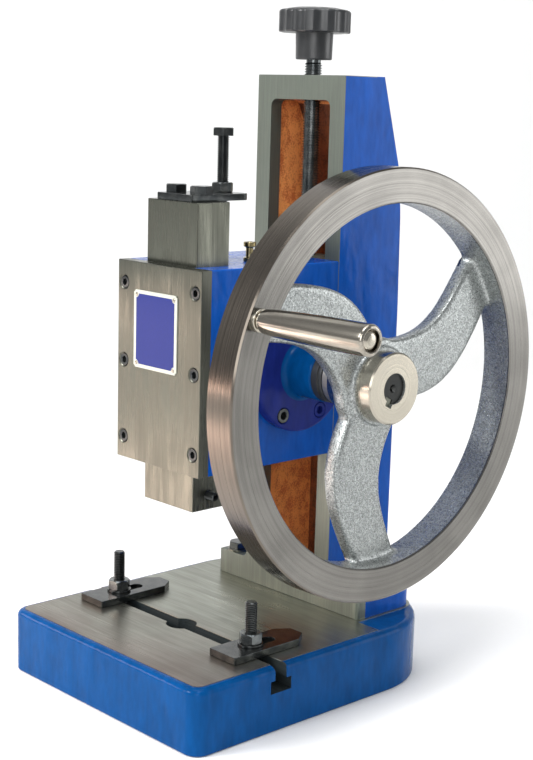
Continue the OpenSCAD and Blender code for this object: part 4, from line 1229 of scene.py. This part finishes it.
def spoke_outline(reach):
    """One curved spoke in the wheel's plane, scaled to where the rim is."""
    k = reach / 127
    leading = bezier([(12, 28), (60 * k, 27 * k), (66 * k, 50 * k), (96 * k, 88 * k)], 20)
    trailing = bezier([(29, -12), (64 * k, -12 * k), (82 * k, 2 * k), (108 * k, 48 * k)], 20)
    return [(0, 0)] + [tuple(p) for p in trailing] + [tuple(p) for p in reversed(leading)]


class PRESS_OT_handwheel(bpy.types.Operator):
    """Handwheel: a painted casting turned on its rim and hub"""
    bl_idname = "press.handwheel"
    bl_label = "Handwheel"

    def execute(self, context):
        s = sizes()
        low, high = span("handwheel")
        rim = (high.z - low.z) / 2
        inner = rim - RIM_WIDTH
        rim_back, face, web_front = high.x - RIM_DEPTH, high.x, WEB_X + s["spoke_thickness"]

        # As cast, with metal to spare where it is turned later
        outline = spoke_outline(rim - RIM_WIDTH / 2)
        spare, around, rooted = 6, 4, 4  # metal left on the faces and round the rim, and overlap
        raw = lathe([(inner, rim_back - spare), (rim + around, rim_back - spare),
                     (rim + around, face + spare), (inner, face + spare)], 240, ring=True)
        spokes = [moved(prism(outline, WEB_X, web_front), turn=about_z(math.tau * i / SPOKES))
                  for i in range(SPOKES)]
        keep = rod(inner + rooted, WEB_X - PAST, web_front + PAST, 180)
        web = clip(weld(rod(DISC_RADIUS, WEB_X, web_front, 120), *spokes), keep)
        weld(raw, web, rod(HUB_RADIUS + 1.3, low.x - 5, face + spare, 120))
        change(raw, "REMESH", mode="VOXEL", voxel_size=s["cast_voxel"])
        change(raw, "SMOOTH", factor=0.5, iterations=34)

        # Turned: hub and rim faces, and the rim's outside
        gap_back, gap_front = WEB_X - 4, web_front + 3
        envelope = [(0, low.x), (18.4, low.x), (19.2, low.x + 0.8), (21, gap_back), (inner - 7, gap_back),
                    (inner - 0.7, rim_back), (rim - 1, rim_back), (rim, rim_back + 1), (rim, face - 1),
                    (rim - 1, face), (inner - 3, face), (inner - 6, gap_front), (HUB_RADIUS, gap_front),
                    (HUB_RADIUS, face - 1), (HUB_RADIUS - 1, face), (0, face)]
        wheel = clip(raw, lathe(envelope, 240))
        edge = lathe([(0, face - 1.2), (inner - 0.4, face - 1.2), (inner + 1.4, face + 0.6),
                      (0, face + 0.6)], 240)
        core = rod(inner - 4, face - 3, face + PAST, 120)
        key = moved(block((0, -KEY_WIDTH / 2 - FIT, low.x - PAST),
                          (SHAFT_RADIUS + KEY_RISE, KEY_WIDTH / 2 + FIT, face + PAST)),
                    turn=about_z(math.radians(KEY_ANGLE)))
        pin = moved(rod(SPINDLE_RADIUS + FIT, SPINDLE_FLOOR_X, face + PAST, 32),
                    HANDLE.y - SHAFT.y, HANDLE.z - SHAFT.z)
        cut(wheel, cut(edge, core), rod(SHAFT_RADIUS + HUB_FIT, low.x - PAST, face + PAST), key, pin)
        wheel = on_shaft(wheel)

        def face_finish(middle, normal):
            radius = math.hypot(middle.y - SHAFT.y, middle.z - SHAFT.z)
            if radius > rim - 1.1:
                return 2
            if radius < HUB_RADIUS + 0.02 and middle.x > gap_front - 0.01:
                return 3
            if radius < 21.05 and middle.x < gap_back + 0.01:
                return 3
            in_back = radius > inner - 7.1 and middle.x < rim_back + 0.01
            return 1 if in_back or middle.x > face - 1.3 else 0

        piece("handwheel", wheel, "wheel", ["handwheel"],
              [finish(aluminium_paint_on_casting), finish(turned_steel, centre=SHAFT * MM),
               # The rim's outside: steel darkened and browned as a painted reflection.
               finish(turned_steel, "turned_rim", centre=SHAFT * MM, metal="rim_steel"),
               fine_turning("turned_hub", SHAFT)], face_finish)

        low, high = span("shaft_collar")
        bore, outer = SHAFT_RADIUS + CLEARANCE, (high.y - low.y) / 2
        section = eased([(bore, low.x), (outer, low.x), (outer, high.x), (bore, high.x)], 0.4,
                        closed=True, steps=3)
        piece("shaft_collar", on_shaft(lathe(section, 72, ring=True)), "wheel", ["shaft_collar"],
              [fine_turning("turned_collar", SHAFT, polish=0.36)])
        return {"FINISHED"}


class PRESS_OT_handle(bpy.types.Operator):
    """Handle that spins on its spindle"""
    bl_idname = "press.handle"
    bl_label = "Handle"

    def execute(self, context):
        face = span("handwheel")[1].x
        low, high = span("handle_grip")
        end, root, tip, start = high.x - face, 7.5, (high.y - low.y) / 2, low.x - face
        recess, floor, bore = 6.3, end - 3.9, SPINDLE_RADIUS + CLEARANCE
        reach, crown = end - start, 2.2
        side = [(p.x, p.y + start) for p in bezier(
            [(root - 0.4, 0.6), (root + 0.8, 8), (tip, reach / 2), (tip, reach - 4)], 40)]
        profile = ([(bore, start), (root - 1.2, start)] + side
                   + arc((tip - crown, end - crown), crown, 0, 90)[1:]
                   + [(recess + 0.7, end), (recess, end - 0.5), (recess, floor), (bore, floor)])
        piece("handle_grip", on_handle(lathe(profile, 72, ring=True), face), "grip", ["handle_grip"],
              [finish(polished_plating)])

        seat, dome = floor + CLEARANCE, span("handle_spindle")[1].x - face
        shank, flange, collar, head = SPINDLE_RADIUS, 7, 5.2, 5.5  # radii
        pin = eased([(0, -SPINDLE_DEPTH), (shank, -SPINDLE_DEPTH), (shank, 0), (flange, 0),
                     (flange, 2.5), (collar, 3.1), (collar, start - 0.2), (shank, start - 0.2),
                     (shank, seat), (head, seat), (head, dome - 1.6), (3.4, dome - 0.3), (0, dome)],
                    [0, 0.4, 0, 0.2, 0.7, 0.5, 0.1, 0, 0, 0.2, 1, 3, 0])
        piece("handle_spindle", on_handle(lathe(pin, 56), face), "wheel", ["handle_spindle"],
              [fine_turning("turned_spindle", HANDLE)])
        return {"FINISHED"}


# ---------------------------------------------------------------- ram


class PRESS_OT_ram(bpy.types.Operator):
    """Ram with its tool bore, cross screw and stop plate"""
    bl_idname = "press.ram"
    bl_label = "Ram"

    def execute(self, context):
        s = sizes()
        low, high = span("ram")
        screw_low, screw_high = span("tool_screw")
        height = (screw_low.z + screw_high.z) / 2
        ram = soften(block(low, high), 0.7, 2)
        tool, mouth = 8, 9.2  # radii of the tool bore and of its chamfer
        bore = [(0, low.z - PAST), (mouth, low.z - PAST), (mouth, low.z), (tool, low.z + 1.2),
                (tool, low.z + 38), (0, low.z + 42)]
        tapped, lead = 3 + FIT, 3.9
        cross = [(0, 0), (tapped, 0), (tapped, high.x - 0.6), (lead, high.x + 0.25),
                 (lead, high.x + PAST), (0, high.x + PAST)]
        cut(ram, lathe(bore, 56), moved(lathe(cross, 32), z=height, turn=ALONG_X))
        piece("ram", ram, "ram", ["ram"], [finish(surface_ground_steel)])

        end = thread(screw_high.z - screw_low.z, 1, screw_low.x, screw_high.x, 24, 0.6)
        cut(end, prism(hexagon(3), screw_high.x - 3, screw_high.x + PAST))
        piece("tool_screw", moved(end, z=height, turn=ALONG_X), "tool_screw", ["tool_screw"],
              [finish(black_oxide_steel, "dark_screw")])

        low, high = span("ram_top_plate")
        stop_low, stop_high = span("stop_bolt")
        stop_y = (stop_low.y + stop_high.y) / 2
        plate = prism(rectangle(low.x, low.y, high.x, high.y, [1.5, 1.5, 5, 5]), low.z, high.z)
        soften(plate, 0.4, 2, 60)
        thread_radius, head_height = M8_HEX[0] / 2, M8_HEX[2]
        cut(plate, moved(rod(thread_radius + FIT, low.z - PAST, high.z + PAST), y=stop_y),
            *[moved(rod(thread_radius + 0.2, low.z - PAST, high.z + PAST), x) for x in TOP_BOLTS])
        blackened("ram_top_plate", plate, "ram")

        depth = high.z - span("top_plate_bolts")[0].z
        bolts = [moved(hex_bolt(*M8_HEX, depth), x, 0, high.z, about_z(turn))
                 for x, turn in zip(TOP_BOLTS, (0.3, 0.8))]
        blackened("top_plate_bolts", gather(*bolts), "ram")
        nut = moved(hex_nut(*M8_STOP_NUT), 0, stop_y, high.z, about_z(0.15))
        # The nut's paler oxide is a painted highlight on its facets.
        blackened("stop_nut", nut, "ram", worn=True)
        seat = stop_high.z - head_height
        bolt = hex_bolt(*M8_HEX, seat - stop_low.z, s["fine_pitch"])
        blackened("stop_bolt", moved(bolt, 0, stop_y, seat, about_z(0.29)), "stop")
        return {"FINISHED"}


# ---------------------------------------------------------------- clamps


class PRESS_OT_clamps(bpy.types.Operator):
    """Two work clamps on T-bolts, each with a slotted strap"""
    bl_idname = "press.clamps"
    bl_label = "Clamps"

    def execute(self, context):
        pitch = sizes()["fine_pitch"]
        for side, turn in (("left", 0.2), ("right", 0.45)):
            body = side + "_clamp"
            low, high = span(side + "_t_bolt")
            x = (low.x + high.x) / 2
            head_top, half = low.z + 7.5, 8.5
            stud = thread(M8_NUT[0], pitch, head_top - 1, high.z, 28, 0.9)
            head = soften(block((-half, -half, low.z), (half, half, head_top)), 0.5)
            blackened(side + "_t_bolt", moved(weld(head, stud), x), body)

            low, high = span(side + "_clamp_washer")
            ring = washer(high.x - low.x, M8_WASHER_BORE, low.z, high.z)
            blackened(side + "_clamp_washer", moved(ring, x), body)
            low = span(side + "_clamp_nut")[0]
            nut = moved(hex_nut(*M8_NUT), x, 0, low.z, about_z(turn))
            # The nut's paler oxide is a painted highlight on its facets.
            blackened(side + "_clamp_nut", nut, body, worn=True)

            low, high = span(side + "_strap")
            half = (high.x - low.x) / 2
            across, along = 7, 10  # how much of each rear corner is cut off
            outline = eased([(-half, low.y), (half, low.y), (half, high.y - along), (half - across, high.y),
                             (across - half, high.y), (-half, high.y - along)], 1, closed=True, steps=4)
            bore, travel = 4.3, 16
            slot = prism(arc((0, 0), bore, 180, 360, 20) + arc((0, travel), bore, 0, 180, 20),
                         low.z - PAST, high.z + PAST)
            strap = soften(cut(prism(outline, low.z, high.z), slot), 0.35, 2, 50)
            blackened(side + "_strap", moved(strap, x), side + "_strap")
        return {"FINISHED"}


# ---------------------------------------------------------------- parts kept as they are


class PRESS_OT_inner_parts(bpy.types.Operator):
    """Finishes for the parts whose frame shape is already their own"""
    bl_idname = "press.inner_parts"
    bl_label = "Inner Parts"

    def execute(self, context):
        dress(finish(ground_cast_iron), "left_keeper", "right_keeper")
        dress(finish(black_oxide_steel), "keeper_bolts", "rack_screws", "hub_set_screw")
        dress(finish(cast_bronze), "outer_bush", "inner_bush")
        dress(finish(surface_ground_steel), "rack", "wheel_key", "collar_pin", "screw_collar")
        dress(finish(turned_shaft_steel), "pinion_shaft")
        return {"FINISHED"}


# ---------------------------------------------------------------- stage

CAMERA_PLACE = (746.9, -632.7, 399.6)
CAMERA_TURN = (46.66, 11.33, 1.59)  # round the machine, above the table, and about the view
CAMERA_LENS = 70.757
CAMERA_SHIFT = (0.0034, 0.0242)
FLOOR_GAP = 0.3  # how far the sheet lies under the base


def lamp(name, place, aim, width, height, power, hue=(1, 1, 1)):
    """A soft area lamp at a place, in metres, turned to its aim."""
    data = bpy.data.lights.new(name, "AREA")
    data.shape = "RECTANGLE"
    data.size = width
    data.size_y = height
    data.energy = power
    data.color = hue
    made = bpy.data.objects.new(name, data)
    made.visible_camera = False
    made.location = place
    made.rotation_euler = (Vector(aim) - Vector(place)).to_track_quat("-Z", "Y").to_euler()
    bpy.context.scene.collection.objects.link(made)
    return made


class PRESS_OT_stage(bpy.types.Operator):
    """Pale paper sweep, soft lamps and the camera"""
    bl_idname = "press.stage"
    bl_label = "Stage"

    def execute(self, context):
        scene = context.scene
        around, above, roll = (math.radians(a) for a in CAMERA_TURN)

        half, front, wall, bend, top = 5, -3.5, 2.3, 1, 3.6  # of the sheet, in metres
        path = [(front, 0)] + arc((wall - bend, bend), bend, 270, 360, 24) + [(wall, top)]
        bm = bmesh.new()
        rows = [[bm.verts.new((x, y, z)) for x in (-half, half)] for y, z in path]
        for lower, upper in zip(rows, rows[1:]):
            bm.faces.new((lower[0], lower[1], upper[1], upper[0]))
        sheet = scratch(bm)
        sheet.data.transform(Matrix.Translation((0, 0, -FLOOR_GAP * MM)) @ about_z(around))
        sheet.name = "paper_sweep"
        sheet.data.materials.append(finish(matt_studio_sheet))
        sheet.data.shade_smooth()

        aim = (0, 0.05, 0.2)
        lamps = [lamp("key_lamp", (-1.35, -3.3, 2.3), aim, 1.35, 1.35, 132),
                 lamp("fill_lamp", (1.4, -1.6, 0.9), aim, 1.2, 1.2, 18),
                 lamp("side_lamp", (1.0, 1.3, 0.5), aim, 0.8, 0.9, 6.5),
                 lamp("roof_lamp", (0.2, 0, 1.9), aim, 1.4, 1.4, 15),
                 lamp("crown_lamp", (0.6, -0.4, 1.6), aim, 0.4, 0.4, 7),
                 lamp("floor_lamp", (-0.42, -0.39, 0.2), (-0.4, -0.36, 0), 0.3, 0.3, 2.8, (1, 0.72, 0.62))]

        world = bpy.data.worlds.new("studio")
        world.use_nodes = True
        air = world.node_tree.nodes["Background"]
        air.inputs["Color"].default_value = (0.95, 0.97, 1, 1)
        air.inputs["Strength"].default_value = 0.36
        scene.world = world
        scene.view_settings.view_transform = "Standard"

        data = bpy.data.cameras.new("camera")
        data.lens = CAMERA_LENS
        data.shift_x, data.shift_y = CAMERA_SHIFT
        camera = bpy.data.objects.new("camera", data)
        right = Vector((math.cos(around), math.sin(around), 0))
        back = Vector((math.sin(around) * math.cos(above), -math.cos(around) * math.cos(above),
                       math.sin(above)))
        up = back.cross(right)
        across = right * math.cos(roll) + up * math.sin(roll)
        upward = up * math.cos(roll) - right * math.sin(roll)
        turn = Matrix((across, upward, back)).transposed().to_4x4()
        camera.matrix_world = Matrix.Translation(Vector(CAMERA_PLACE) * MM) @ turn
        scene.collection.objects.link(camera)
        scene.camera = camera
        return {"FINISHED"}


# ---------------------------------------------------------------- panel

OPERATORS = (
    PRESS_OT_base, PRESS_OT_column, PRESS_OT_column_bolts, PRESS_OT_head, PRESS_OT_cover, PRESS_OT_nameplate,
    PRESS_OT_housing, PRESS_OT_oil_cup, PRESS_OT_elevating_screw, PRESS_OT_knob, PRESS_OT_handwheel,
    PRESS_OT_handle, PRESS_OT_ram, PRESS_OT_clamps, PRESS_OT_inner_parts, PRESS_OT_stage)


class PRESS_PT_panel(bpy.types.Panel):
    """Lists the press's pieces, colours and sizes in the sidebar"""
    bl_idname = "PRESS_PT_panel"
    bl_label = "Punch Press"
    bl_space_type = "VIEW_3D"
    bl_region_type = "UI"
    bl_category = "Press"

    def draw(self, context):
        layout = self.layout
        for kept in (context.scene.press_colours, context.scene.press_sizes):
            column = layout.column(align=True)
            for name in kept.__annotations__:
                column.prop(kept, name)
        column = layout.column(align=True)
        for operator in OPERATORS:
            column.operator(operator.bl_idname)


CLASSES = (PressColours, PressSizes, *OPERATORS, PRESS_PT_panel)


def register():
    for kind in CLASSES:
        bpy.utils.register_class(kind)
    bpy.types.Scene.press_colours = bpy.props.PointerProperty(type=PressColours)
    bpy.types.Scene.press_sizes = bpy.props.PointerProperty(type=PressSizes)


def unregister():
    del bpy.types.Scene.press_sizes
    del bpy.types.Scene.press_colours
    for kind in reversed(CLASSES):
        bpy.utils.unregister_class(kind)


def main():
    register()
    for operator in OPERATORS:
        family, name = operator.bl_idname.split(".")
        getattr(getattr(bpy.ops, family), name)()


if __name__ == "__main__":
    main()
